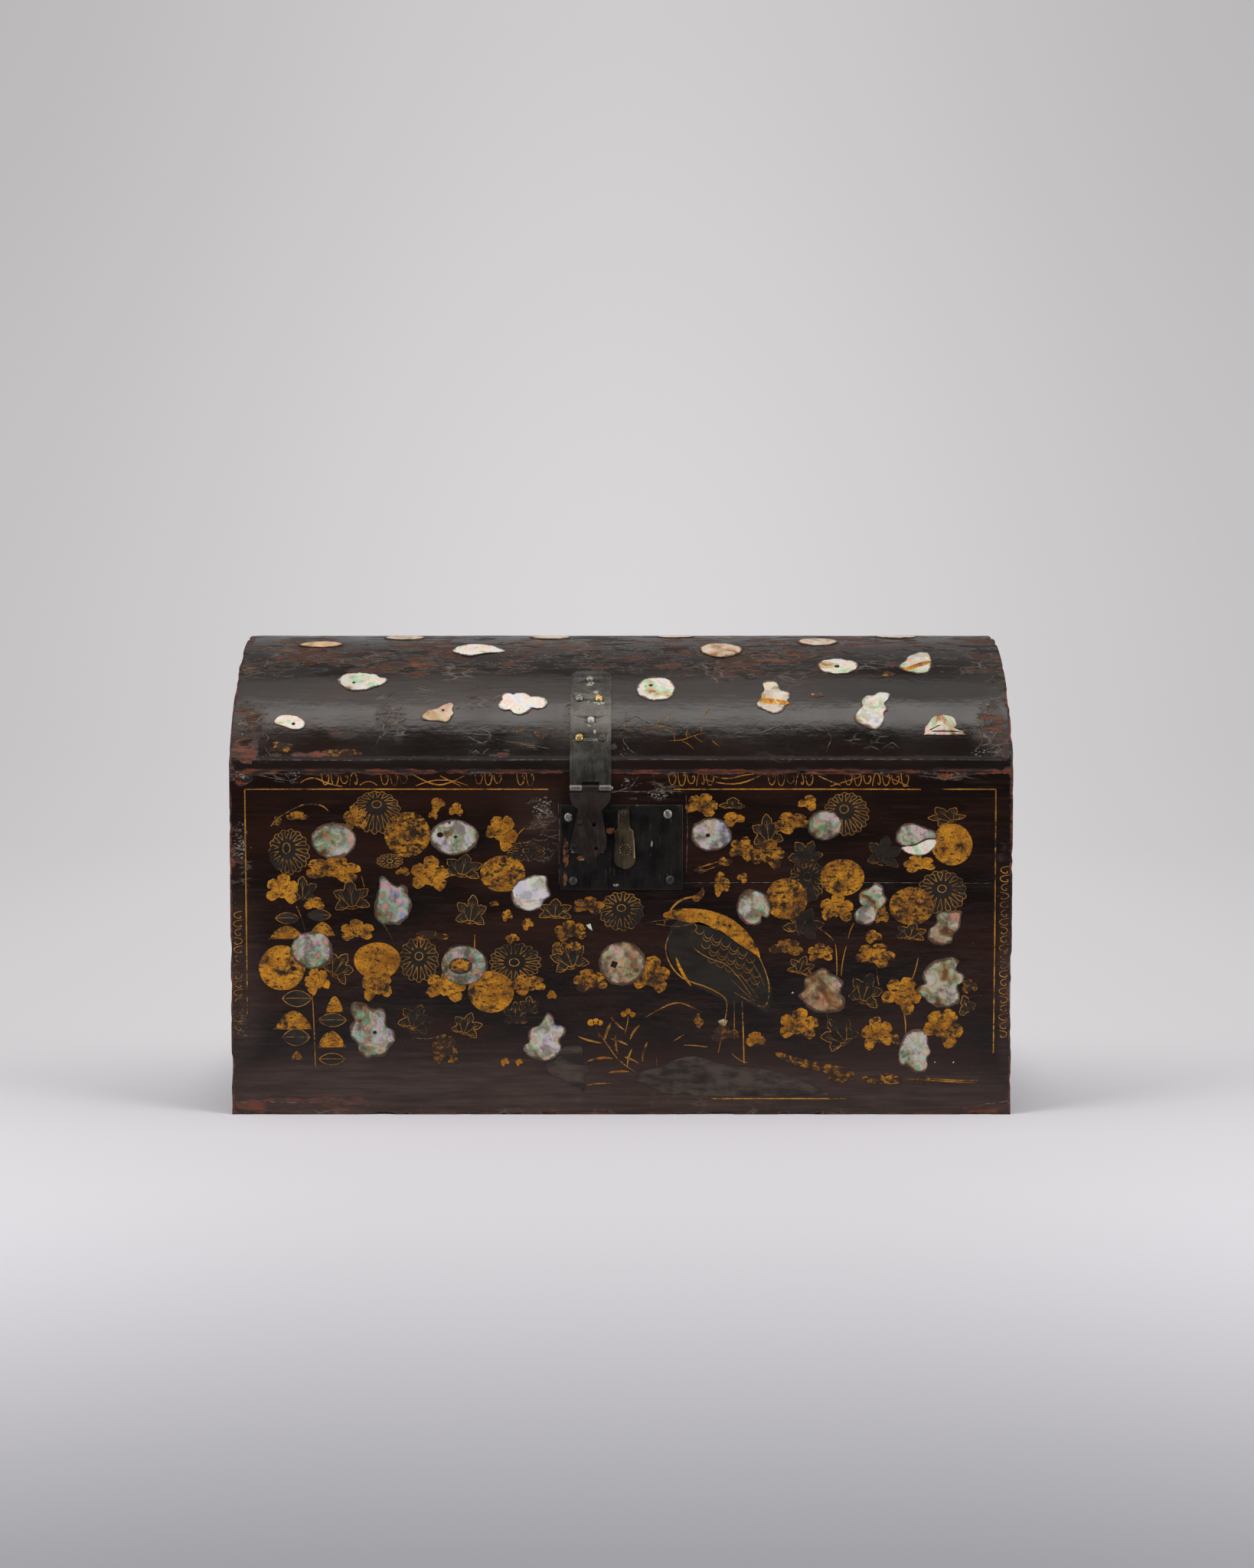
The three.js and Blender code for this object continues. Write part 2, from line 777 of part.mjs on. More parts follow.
// Keyhole cover, in its own group about its pivot
const cover = new THREE.Group();
cover.position.set(coverPivotX, plateFront - runningGap, coverPivotZ);
cover.rotation.y = -coverLean;
body.add(cover);

function coverShape() {
  const neckTop = coverNeckHalf - 0.7;
  const neckEnd = -7.4;
  const shoulder = -10.2;
  const widest = -26;
  const shape = new THREE.Shape();
  shape.moveTo(-coverNeckHalf, 0);
  shape.lineTo(-coverNeckHalf, neckEnd);
  shape.quadraticCurveTo(-coverNeckHalf - 0.2, shoulder + 1, -coverBodyHalf + 0.7, shoulder);
  shape.lineTo(-coverBodyHalf, widest);
  shape.quadraticCurveTo(-coverBodyHalf, -coverLength + 1.2, 0, -coverLength);
  shape.quadraticCurveTo(coverBodyHalf, -coverLength + 1.2, coverBodyHalf, widest);
  shape.lineTo(coverBodyHalf - 0.7, shoulder);
  shape.quadraticCurveTo(coverNeckHalf + 0.2, shoulder + 1, coverNeckHalf, neckEnd);
  shape.lineTo(coverNeckHalf, 0);
  shape.quadraticCurveTo(coverNeckHalf, neckTop, 0, neckTop);
  shape.quadraticCurveTo(-coverNeckHalf, neckTop, -coverNeckHalf, 0);
  return shape;
}

cover.add(part(
  'keyhole_cover',
  shaped(
    [alongY(coverShape(), 0, -coverThickness)],
    [rodAlongY(pivotRivet.shankRadius + runningGap, 0, 0, -coverThickness - overrun, overrun)],
  ),
  brass,
));
body.add(fastened('keyhole_cover_rivet', pivotRivet, coverRivetSeat, darkIron));

// Back hinges: the body leaf has the outer knuckles and the lid leaf the middle one
function bodyLeaf(centre, screws) {
  const x0 = centre - backLeafWidth / 2;
  const x1 = centre + backLeafWidth / 2;
  const notchHalf = backMiddleKnuckle / 2 + runningGap;
  return shaped(
    [
      block([x0, halfDepth, backPinZ - backLeafLength], [x1, halfDepth + backLeafThickness, backPinZ]),
      rod(backKnuckleRadius, x0, x1, backPinY, backPinZ),
    ],
    [
      block(
        [centre - notchHalf, halfDepth - overrun, backPinZ - backKnuckleRadius - looseGap],
        [centre + notchHalf, backPinY + 2 * backKnuckleRadius, backPinZ + 2 * backKnuckleRadius],
      ),
      rod(backBoreRadius, x0 - overrun, x1 + overrun, backPinY, backPinZ),
      ...screws.map(({ seat }) => clearHole(seat, leafScrew)),
    ],
  );
}

// The stop on the lid leaf's knuckle meets the body leaf when the lid is fully open
function lidStop(centre) {
  const nearY = halfDepth + backLeafThickness + runningGap - backPinY;
  const half = backMiddleKnuckle / 2;
  const stop = block([-half, nearY, -stopLength], [half, nearY + stopThickness, -backBoreRadius]);
  stop.rotateX(lidOpenAngle);
  stop.translate(centre, backPinY, backPinZ);
  return stop;
}

function lidLeaf(centre, screws) {
  const x0 = centre - backLeafWidth / 2;
  const x1 = centre + backLeafWidth / 2;
  const half = backMiddleKnuckle / 2;
  const strip = alongX(strapOutline(backLeafThickness, backPinZ, lidLeafArcLength), x0, x1);
  strip.rotateZ(Math.PI);
  strip.translate(2 * centre, 0, 0);
  const clearZ = backPinZ + backKnuckleRadius + looseGap;
  const beyondY = backPinY + stopLength + overrun;
  return shaped(
    [strip, rod(backKnuckleRadius, centre - half, centre + half, backPinY, backPinZ), lidStop(centre)],
    [
      block([x0 - overrun, halfDepth - overrun, backPinZ - overrun], [centre - half, beyondY, clearZ]),
      block([centre + half, halfDepth - overrun, backPinZ - overrun], [x1 + overrun, beyondY, clearZ]),
      rod(backBoreRadius, x0 - overrun, x1 + overrun, backPinY, backPinZ),
      ...screws.map(({ seat }) => clearHole(seat, leafScrew)),
    ],
  );
}

for (const [side, sign] of Object.entries(sides)) {
  const centre = sign * backHingeX;
  const ofSide = (item) => item.side === side;
  body.add(part(`back_hinge_body_leaf_${side}`, bodyLeaf(centre, bodyLeafScrews.filter(ofSide)), darkIron));
  lid.add(part(`back_hinge_lid_leaf_${side}`, lidLeaf(centre, lidLeafScrews.filter(ofSide)), darkIron));
  const pinHalf = backLeafWidth / 2 + backPinTail;
  const pin = rod(backPinRadius, centre - pinHalf, centre + pinHalf, backPinY, backPinZ, fastenerSides);
  body.add(part(`back_hinge_pin_${side}`, shaped([pin]), steel));
}
for (const { name, seat, slotAngle } of bodyLeafScrews) {
  body.add(fastened(name, leafScrew, seat, steel, slotAngle));
}
for (const { name, seat, slotAngle } of lidLeafScrews) {
  lid.add(fastened(name, leafScrew, seat, steel, slotAngle));
}

export default coffer;
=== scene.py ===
# %% [markdown]
# A small domed coffer of wood under black lacquer, with gold ornament, mother-of-pearl plates and iron
# fittings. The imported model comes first. Its hinges, hasp, lock and bolt stay where they are, and
# everything made below is fitted to them in the same frame: metres, the front towards -Y, the underside's
# centre at the origin.

import json
import math

import bmesh
import bpy
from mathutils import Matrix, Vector, noise


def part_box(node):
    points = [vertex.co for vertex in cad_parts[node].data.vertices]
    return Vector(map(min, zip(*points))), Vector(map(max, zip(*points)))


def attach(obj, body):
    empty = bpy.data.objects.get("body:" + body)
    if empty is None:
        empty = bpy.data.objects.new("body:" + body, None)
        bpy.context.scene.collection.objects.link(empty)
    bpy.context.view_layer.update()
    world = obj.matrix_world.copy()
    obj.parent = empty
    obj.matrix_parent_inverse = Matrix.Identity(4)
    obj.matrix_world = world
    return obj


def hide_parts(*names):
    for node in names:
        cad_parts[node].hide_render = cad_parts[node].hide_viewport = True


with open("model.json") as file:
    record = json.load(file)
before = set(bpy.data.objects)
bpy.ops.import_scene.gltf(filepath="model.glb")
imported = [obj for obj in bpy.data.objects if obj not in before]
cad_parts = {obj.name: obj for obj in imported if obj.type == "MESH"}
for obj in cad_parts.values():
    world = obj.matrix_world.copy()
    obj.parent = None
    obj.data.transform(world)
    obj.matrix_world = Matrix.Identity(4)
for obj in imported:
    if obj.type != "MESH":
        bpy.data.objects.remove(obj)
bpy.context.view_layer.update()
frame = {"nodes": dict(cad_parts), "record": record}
MM = 0.001

# %% [markdown]
# The camera stands a little above the coffer's middle and looks almost level. Its distance, tilt and lens
# come from the front's four corners and the ends of the lid in the photograph. The small shift keeps the
# uprights parallel.

# %% Camera
camera_place = (0, -1.691, 0.262)
camera_dip = math.radians(3.65)
lens_mm = 63.2
film_mm = 36
shift_across = 0.0037
shift_up = 0.0332
camera_data = bpy.data.cameras.new("camera")
camera_data.lens = lens_mm
camera_data.sensor_width = film_mm
camera_data.shift_x = shift_across
camera_data.shift_y = shift_up
camera = bpy.data.objects.new("camera", camera_data)
camera.location = camera_place
camera.rotation_euler = (math.pi / 2 - camera_dip, 0, 0)
bpy.context.scene.collection.objects.link(camera)
bpy.context.scene.camera = camera
print("camera at", camera_place)

# %% [markdown]
# Later cells use the same few moves again and again: clear the selection, pick one piece up, choose edges
# or faces by their place, and hand a finished piece to its body. They are written once here.

# %% Helpers for modelling
def clear_selection():
    """Goes to object mode with nothing selected."""
    if bpy.context.object and bpy.context.object.mode != "OBJECT":
        bpy.ops.object.mode_set(mode="OBJECT")
    bpy.ops.object.select_all(action="DESELECT")


def pick_up(piece):
    """Makes one piece the only selected and active one."""
    clear_selection()
    piece.select_set(True)
    bpy.context.view_layer.objects.active = piece


def name_it(name):
    """Names the primitive that was just added."""
    piece = bpy.context.object
    piece.name = name
    piece.data.name = name
    return piece


def choose(piece, parts, wanted):
    """In edit mode, selects the verts, edges or faces for which wanted is true."""
    mesh = bmesh.from_edit_mesh(piece.data)
    bpy.ops.mesh.select_mode(type={"verts": "VERT", "edges": "EDGE", "faces": "FACE"}[parts])
    for part in [*mesh.verts, *mesh.edges, *mesh.faces]:
        part.select = False
    for part in getattr(mesh, parts):
        if wanted(part):
            part.select_set(True)
    bmesh.update_edit_mesh(piece.data)


def apply_modifier(piece, kind, **settings):
    """Adds a modifier with these settings and applies it."""
    pick_up(piece)
    modifier = piece.modifiers.new(kind.lower(), kind)
    for key, value in settings.items():
        setattr(modifier, key, value)
    bpy.ops.object.modifier_apply(modifier=modifier.name)


def smooth(piece, degrees=35):
    """Shades a piece smooth, with edges sharper than this kept."""
    pick_up(piece)
    bpy.ops.object.shade_smooth_by_angle(angle=math.radians(degrees))


def hand_over(piece, materials, slot, body, *stands_for):
    """Gives a finished piece its materials and the body that carries it. Its slot argument is not used."""
    piece.data.materials.clear()
    for material in materials:
        piece.data.materials.append(material)
    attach(piece, body)
    if stands_for:
        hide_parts(*stands_for)
    print(piece.name, len(piece.data.polygons), "faces on", body)


# %% Helpers for materials
def add(tree, kind, values=None, **settings):
    """Adds a shader node. A value that is a socket is linked, any other is set."""
    node = tree.nodes.new(kind)
    for key, value in settings.items():
        setattr(node, key, value)
    for key, value in (values or {}).items():
        if isinstance(value, bpy.types.NodeSocket):
            tree.links.new(value, node.inputs[key])
        else:
            node.inputs[key].default_value = value
    return node


def maths(tree, operation, first, second=0.0, clamp=False):
    """One step of arithmetic."""
    node = add(tree, "ShaderNodeMath", {0: first, 1: second}, operation=operation)
    node.use_clamp = clamp
    return node.outputs[0]


def remap(tree, value, low, high, to_low=0.0, to_high=1.0):
    """A soft step from to_low to to_high while value goes from low to high."""
    limits = {"Value": value, "From Min": low, "From Max": high, "To Min": to_low, "To Max": to_high}
    return add(tree, "ShaderNodeMapRange", limits, interpolation_type="SMOOTHSTEP").outputs[0]


def blend_colours(tree, factor, first, second):
    """first where factor is 0, second where it is 1."""
    return add(tree, "ShaderNodeMix", {0: factor, 6: first, 7: second}, data_type="RGBA").outputs[2]


def plus_share(tree, total, value, share, clamp=False):
    """total + value * share."""
    return maths(tree, "ADD", total, maths(tree, "MULTIPLY", value, share), clamp)


def tinted(tree, base, mask, share, tone):
    """base, turned towards a tone where mask is high, and at most by share."""
    return blend_colours(tree, maths(tree, "MULTIPLY", mask, share), base, tone)


def colour(red, green, blue):
    """A colour that a socket takes."""
    return (red, green, blue, 1)


def cloud(tree, vector, scale, detail=4.0, rough=0.55, distortion=0.0):
    """A noise value round 0.5."""
    values = {"Vector": vector, "Scale": scale, "Detail": detail, "Roughness": rough}
    values["Distortion"] = distortion
    return add(tree, "ShaderNodeTexNoise", values).outputs[0]


def stretched(tree, vector, scale):
    """The same coordinates, closer together along the axes with a large scale."""
    return add(tree, "ShaderNodeMapping", {"Vector": vector, "Scale": scale}).outputs[0]


def ramp(tree, value, stops):
    """A colour ramp from (position, colour) pairs."""
    node = add(tree, "ShaderNodeValToRGB", {0: value})
    elements = node.color_ramp.elements
    while len(elements) < len(stops):
        elements.new(0.5)
    for element, (position, tone) in zip(elements, stops):
        element.position = position
        element.color = tone
    return node.outputs[0]


def attribute(tree, name):
    """A number that was painted on the vertices."""
    return add(tree, "ShaderNodeAttribute", attribute_name=name).outputs["Fac"]


def start_material(name):
    """A new material: its tree, its Principled BSDF and the Object coordinates."""
    material = bpy.data.materials.new(name)
    material.use_nodes = True
    tree = material.node_tree
    shader = tree.nodes["Principled BSDF"]
    place = tree.nodes.new("ShaderNodeTexCoord").outputs["Object"]
    return material, tree, shader, place


def wire(tree, shader, base, rough, height=None, depth=0.0002, strength=0.6, gloss=0.5):
    """Joins colour, roughness and bump height to the shader, and sets its specular level."""
    shader.inputs["Specular IOR Level"].default_value = gloss
    tree.links.new(base, shader.inputs["Base Color"])
    tree.links.new(rough, shader.inputs["Roughness"])
    if height is not None:
        bump = add(tree, "ShaderNodeBump", {"Height": height, "Distance": depth, "Strength": strength})
        tree.links.new(bump.outputs[0], shader.inputs["Normal"])


# %% [markdown]
# The coffer stands on a pale lilac-grey studio sweep: a floor that curves up into a wall, like one sheet of
# paper. A flat strip is extruded upwards in four steps and shaded smooth. The floor's colour darkens towards
# the viewer and is a little brighter at the sides, as in the photograph. This is painted shade and painted
# light for the way the light falls off. To every ray but the camera's, the floor further forward, under the
# camera, is painted dark: a painted shade that the front mirrors. The floor keeps the shadow under the
# coffer. The wall shows a pale tone of its own, and so does the floor behind the camera, which is seen only
# from behind the coffer. Beside the coffer's ends the floor glows with that pale tone too, a painted light
# that lifts the coffer's side shadows.

# %% Studio sweep
sweep_width = 14.0
floor_front = -3.2
floor_back = 2.2
wall_height = 4.5
curve_steps = ((0.5, 0.12), (0.35, 0.38), (0.12, 0.6), (0, wall_height))
clear_selection()
bpy.ops.mesh.primitive_plane_add(size=1, location=(0, (floor_front + floor_back) / 2, 0))
sweep = name_it("studio_sweep")
sweep.scale = (sweep_width, floor_back - floor_front, 1)
bpy.ops.object.transform_apply(location=True, rotation=True, scale=True)
bpy.ops.object.mode_set(mode="EDIT")
choose(sweep, "edges", lambda e: all(v.co.y > floor_back - 0.01 for v in e.verts))
for step_back, step_up in curve_steps:
    bpy.ops.mesh.extrude_region_move(TRANSFORM_OT_translate={"value": (0, step_back, step_up)})
bpy.ops.object.mode_set(mode="OBJECT")
smooth(sweep, 60)
print("sweep faces:", len(sweep.data.polygons))

# %% Studio sweep: the floor's tone
# Painted shade and light: the near floor and the floor under the camera are coloured darker, and the floor at
# the sides lighter, in place of the light's fall-off.
floor_near_painted_shade = colour(0.158, 0.166, 0.184)
floor_far = colour(0.685, 0.68, 0.73)
floor_beside_painted_light = colour(0.73, 0.725, 0.78)
floor_under_camera_painted_shade = colour(0.12, 0.12, 0.12)
material, tree, shader, place = start_material("pale_sweep")
parts = add(tree, "ShaderNodeSeparateXYZ", {0: place}).outputs
along = parts["Y"]
aside = maths(tree, "ABSOLUTE", parts["X"])
off_middle = remap(tree, aside, 0.08, 0.42)
nearer = remap(tree, plus_share(tree, along, off_middle, 0.075), -1.28, -0.28)
tint = blend_colours(tree, nearer, floor_near_painted_shade, blend_colours(tree, off_middle, floor_far, floor_beside_painted_light))
tint = blend_colours(tree, remap(tree, along, -1.9, -1.1), floor_under_camera_painted_shade, tint)
rough = remap(tree, cloud(tree, place, 3.0), 0.3, 0.7, 0.85, 0.95)
wire(tree, shader, tint, rough, gloss=0.1)

# %% Studio sweep: the wall's own light
wall_tone = colour(0.690, 0.675, 0.685)
rays = tree.nodes.new("ShaderNodeLightPath").outputs
seen = maths(tree, "MAXIMUM", rays["Is Camera Ray"], rays["Is Glossy Ray"])
seen = maths(tree, "MAXIMUM", seen, rays["Is Transmission Ray"])
# Painted light: beside the coffer's ends the floor glows with the wall's tone, which lifts the coffer's side
# shadows there.
beside = maths(tree, "MULTIPLY", remap(tree, along, -0.22, 0.28), remap(tree, aside, 0.2, 0.28))
wall_share = maths(tree, "MAXIMUM", remap(tree, along, 0.25, 1.5), beside)
behind_camera = maths(tree, "MULTIPLY", rays["Is Camera Ray"], remap(tree, along, -2.2, -1.2, 1.0, 0.0))
lit_by_itself = maths(tree, "MAXIMUM", maths(tree, "MULTIPLY", seen, wall_share), behind_camera)
falloff = remap(tree, parts["Z"], 0.3, 1.6, 1.0, 0.885)
falloff = maths(tree, "MULTIPLY", falloff, remap(tree, aside, 0.0, 1.3, 1.0, 0.79))
glow = add(tree, "ShaderNodeEmission", {"Color": wall_tone, "Strength": falloff}).outputs[0]
joined = add(tree, "ShaderNodeMixShader", {0: lit_by_itself, 1: shader.outputs[0], 2: glow}).outputs[0]
tree.links.new(joined, tree.nodes["Material Output"].inputs["Surface"])
sweep.data.materials.append(material)
print("sweep nodes:", len(tree.nodes))

# %% [markdown]
# Two soft boxes hang above the coffer. The wide one lights the lid's top, and the narrow one in front of it
# is what shows as the grey band along the lid. Two tall ones stand left and right of the camera and one
# behind it, where the flat front doesn't mirror them, and light the gold, the shell and the floor. The sky
# adds a little, and looks as pale as the wall where the camera sees past the sweep.

# %% Soft boxes
def soft_box(name, place, aim, size_x, size_y, radiance, tone=(1, 1, 1)):
    """A rectangular lamp that faces aim. radiance is how bright its face is, where white paper is 1."""
    lamp = bpy.data.lights.new(name, "AREA")
    lamp.shape = "RECTANGLE"
    lamp.size = size_x
    lamp.size_y = size_y
    lamp.energy = radiance * math.pi * size_x * size_y
    lamp.color = tone
    holder = bpy.data.objects.new(name, lamp)
    holder.location = place
    holder.rotation_euler = (Vector(aim) - Vector(place)).to_track_quat("-Z", "Y").to_euler()
    bpy.context.scene.collection.objects.link(holder)
    return holder


for box in (
    ("box_above", (0, -0.16, 1.95), (0, -0.16, 0), 2.6, 1.1, 1.2, (1, 0.97, 0.93)),
    ("box_edge", (-0.1, -0.55, 1.92), (-0.1, -0.5, 0), 2.2, 0.52, 3.5, (1, 0.95, 0.89)),
    ("box_left", (-1.75, -1.5, 1.05), (0, 0, 0.15), 1.0, 1.5, 5.2),
    ("box_right", (1.75, -1.5, 1.05), (0, 0, 0.15), 1.0, 1.5, 5.2),
    ("box_front", (0, -2.3, 1.9), (0, -0.2, 0.1), 1.8, 0.8, 0.9),
):
    print("lamp", soft_box(*box).name)

# %% Sky
sky_light = 0.14
sky_seen = 0.62
world = bpy.data.worlds.new("studio")
world.use_nodes = True
sky = world.node_tree
sky.nodes["Background"].inputs["Color"].default_value = colour(1.0, 0.955, 0.93)
straight = sky.nodes.new("ShaderNodeLightPath").outputs["Is Camera Ray"]
strength = remap(sky, straight, 0.0, 1.0, sky_light, sky_seen)
sky.links.new(strength, sky.nodes["Background"].inputs["Strength"])
bpy.context.scene.world = world
bpy.context.scene.view_settings.view_transform = "Standard"
print("sky light:", sky_light)

# %% [markdown]
# Old lacquer, gold and iron all wear in patches with a ragged edge. One node group makes such patches:
# noise is lifted by an amount and cut at a threshold, so an amount of 0 leaves nothing and an amount of 1
# covers all.

# %% Node group: ragged patches
patches = bpy.data.node_groups.new("ragged_patches", "ShaderNodeTree")
patches.interface.new_socket("Vector", in_out="INPUT", socket_type="NodeSocketVector")
for socket_name in ("Scale", "Amount", "Softness"):
    patches.interface.new_socket(socket_name, in_out="INPUT", socket_type="NodeSocketFloat")
patches.interface.new_socket("Mask", in_out="OUTPUT", socket_type="NodeSocketFloat")
group_in = patches.nodes.new("NodeGroupInput").outputs
group_out = patches.nodes.new("NodeGroupOutput")
rag = cloud(patches, group_in["Vector"], group_in["Scale"], 6.0, 0.62)
lifted = maths(patches, "ADD", rag, group_in["Amount"])
cut_low = maths(patches, "SUBTRACT", 1.0, group_in["Softness"])
cut_high = maths(patches, "ADD", 1.0, group_in["Softness"])
patches.links.new(remap(patches, lifted, cut_low, cut_high), group_out.inputs["Mask"])
print("group nodes:", len(patches.nodes))


def ragged(tree, vector, scale, amount, softness=0.06):
    """The mask of the ragged patches group."""
    values = {"Vector": vector, "Scale": scale, "Amount": amount, "Softness": softness}
    return add(tree, "ShaderNodeGroup", values, node_tree=patches).outputs["Mask"]


# %% [markdown]
# Black lacquer is built up in thin coats over a brown ground, so its black is warm and it shines. Two
# centuries have rubbed the edges through to red-brown wood, greyed the surface where it was handled, and
# cracked the crown of the lid. Where each of these happens is painted on the vertices by later cells:
# arris_mm is the distance to the nearest outer edge, rub is bare wood, haze is greyed lacquer and also a
# painted grey sheen along the foot of the front and across the middle of the lid, scuff is fine pale
# scratches and flake is lacquer that has cracked and come off in scales. The lid's coat is blacker than the
# body's, in part as painted shade against the stronger light from above, and has kept more gloss.

# %% Lacquer: the black, the wood under it and its fine cracks
def warm_black(tree, lying, grain, blacker_and_shaded):
    """The coat itself, browner in clouds and along the grain. The last argument takes the brown out, and on
    the lid this is partly painted shade.
    """
    clouds = remap(tree, cloud(tree, lying, 34.0), 0.35, 0.68)
    coat = blend_colours(tree, clouds, colour(0.0044, 0.0022, 0.0017), colour(0.0180, 0.0064, 0.0040))
    coat = blend_colours(tree, remap(tree, grain, 0.5, 0.72, 0.0, 0.6), coat, colour(0.024, 0.0115, 0.008))
    return blend_colours(tree, blacker_and_shaded, coat, colour(0.0020, 0.0019, 0.0013))


def worn_wood(tree, place, lying):
    """Bare red-brown wood, streaked along the boards and stained dark in patches."""
    streak = remap(tree, cloud(tree, stretched(tree, place, (0.15, 1, 1)), 500.0, 4.0, 0.6), 0.35, 0.65)
    wood = blend_colours(tree, streak, colour(0.028, 0.0070, 0.0035), colour(0.155, 0.031, 0.009))
    return blend_colours(tree, ragged(tree, lying, 190.0, 0.48), wood, colour(0.010, 0.005, 0.0035))


def crazing(tree, place, flake):
    """A net of fine cracks, where the lacquer flakes, and there only in clouds."""
    net = {"Vector": stretched(tree, place, (0.38, 1, 1)), "Scale": 240.0}
    gap = add(tree, "ShaderNodeTexVoronoi", net, feature="DISTANCE_TO_EDGE").outputs["Distance"]
    line = maths(tree, "MULTIPLY", remap(tree, gap, 0.0, 0.10, 1.0, 0.0), remap(tree, flake, 0.35, 0.9))
    return maths(tree, "MULTIPLY", line, remap(tree, cloud(tree, place, 50.0, 5.0), 0.52, 0.66))


# %% Material: black lacquer
flaked_tones = (
    (0.36, colour(0.0020, 0.0012, 0.0010)), (0.47, colour(0.010, 0.0050, 0.0035)),
    (0.53, colour(0.080, 0.021, 0.008)), (0.57, colour(0.012, 0.007, 0.005)),
    (0.67, colour(0.150, 0.044, 0.013)),
)


def lacquer_coat(name, blacker_and_shaded, gloss, dull_flakes):
    """Lacquer. gloss is its specular level, and dull_flakes is how much rougher it is where it has flaked."""
    material, tree, shader, place = start_material(name)
    haze_and_sheen = attribute(tree, "haze_and_sheen")
    flake = attribute(tree, "flake")
    lying = stretched(tree, place, (0.32, 1, 1))
    grain = cloud(tree, stretched(tree, place, (0.08, 1, 1)), 420.0, 5.0, 0.6)

    edge_amount = remap(tree, attribute(tree, "arris_mm"), 0.0, 3.8, 0.62, 0.0)
    rub_amount = maths(tree, "MAXIMUM", edge_amount, maths(tree, "MULTIPLY", attribute(tree, "rub"), 0.85))
    bare = ragged(tree, place, 85.0, rub_amount, 0.05)
    base = blend_colours(tree, bare, warm_black(tree, lying, grain, blacker_and_shaded), worn_wood(tree, place, lying))
    # The haze tone is greyed lacquer, and in places a painted grey sheen that stands for a reflection.
    base = tinted(tree, base, haze_and_sheen, remap(tree, grain, 0.3, 0.7, 0.35, 0.75), colour(0.078, 0.050, 0.043))
    scratch_amount = remap(tree, attribute(tree, "scuff"), 0.0, 1.0, 0.0, 0.455)
    scratch = ragged(tree, stretched(tree, place, (0.7, 1, 1)), 880.0, scratch_amount, 0.03)
    base = tinted(tree, base, scratch, 0.85, colour(0.24, 0.22, 0.19))

    flake_amount = maths(tree, "MULTIPLY", flake, 0.50)
    lost = ragged(tree, lying, 210.0, flake_amount, 0.015)
    lost_rim = ragged(tree, lying, 210.0, plus_share(tree, flake_amount, flake, 0.03), 0.015)
    lost_rim = maths(tree, "SUBTRACT", lost_rim, lost, clamp=True)
    base = blend_colours(tree, lost, base, ramp(tree, cloud(tree, lying, 75.0, 5.0, 0.6), flaked_tones))
    pale_line = maths(tree, "MAXIMUM", lost_rim, crazing(tree, place, flake))
    base = tinted(tree, base, pale_line, 0.55, colour(0.19, 0.145, 0.11))
    base = tinted(tree, base, ragged(tree, place, 900.0, 0.27, 0.02), 0.7, colour(0.34, 0.28, 0.21))

    rough = plus_share(tree, remap(tree, cloud(tree, place, 30.0), 0.3, 0.7, 0.13, 0.22), haze_and_sheen, 0.15)
    rough = plus_share(tree, rough, remap(tree, flake, 0.5, 1.0), dull_flakes)
    for worn_place, share in ((bare, 0.35), (lost, 0.3), (scratch, 0.3)):
        rough = plus_share(tree, rough, worn_place, share, clamp=True)
    height = maths(tree, "MULTIPLY", grain, 0.12)
    for swell, share in ((cloud(tree, place, 260.0, 3.0), 0.22), (cloud(tree, lying, 60.0, 3.0), 0.55)):
        height = plus_share(tree, height, swell, share)
    for hollow, share in ((bare, -0.5), (lost, -0.9), (pale_line, 0.5), (scratch, 0.35)):
        height = plus_share(tree, height, hollow, share)
    wire(tree, shader, base, rough, height, 0.0006, 0.85, gloss)
    print(name, "nodes:", len(tree.nodes))
    return material


body_lacquer = lacquer_coat("black_lacquer", 0.0, 0.23, 0.0)
# The lid's coat is made blacker partly as painted shade, because the lid gets more light from above.
lid_lacquer = lacquer_coat("black_lacquer_lid", 0.5, 0.36, 0.16)

# %% [markdown]
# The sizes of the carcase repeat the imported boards. The seven boards are shown as one lacquered box,
# because the lacquer runs over their joints. A cube is inset on top and pressed down into a tray, cut into
# a grid, and its edges are bevelled, then worn down in code: real arrises are never straight after so long.

# %% Body: a tray with a fine grid
width = 450 * MM
depth = 226 * MM
body_height = 198.4 * MM
board = 11 * MM
bottom_board = 10 * MM
grid_steps = 50
clear_selection()
bpy.ops.mesh.primitive_cube_add(size=1, location=(0, 0, body_height / 2))
body = name_it("lacquered_body")
body.scale = (width, depth, body_height)
bpy.ops.object.transform_apply(location=True, rotation=True, scale=True)
bpy.ops.object.mode_set(mode="EDIT")
choose(body, "faces", lambda f: f.normal.z > 0.9)
bpy.ops.mesh.inset(thickness=board)
bpy.ops.mesh.extrude_region_move(TRANSFORM_OT_translate={"value": (0, 0, bottom_board - body_height)})


def runs_along(edge, axis):
    """True when an edge is parallel to this axis."""
    way = (edge.verts[1].co - edge.verts[0].co).normalized()
    return abs(way[axis]) > 0.99


for axis, cuts in ((0, grid_steps - 1), (0, 2), (1, grid_steps - 1), (2, grid_steps - 1)):
    choose(body, "edges", lambda e: runs_along(e, axis))
    bpy.ops.mesh.subdivide(number_cuts=cuts)
bpy.ops.object.mode_set(mode="OBJECT")
print("body grid:", len(body.data.vertices), "vertices")

# %% [markdown]
# The front is made of two boards. Their joint has opened into a hairline crack from the lock plate to the
# right edge. Five rows of the grid are drawn together there, and the middle one is pushed in.

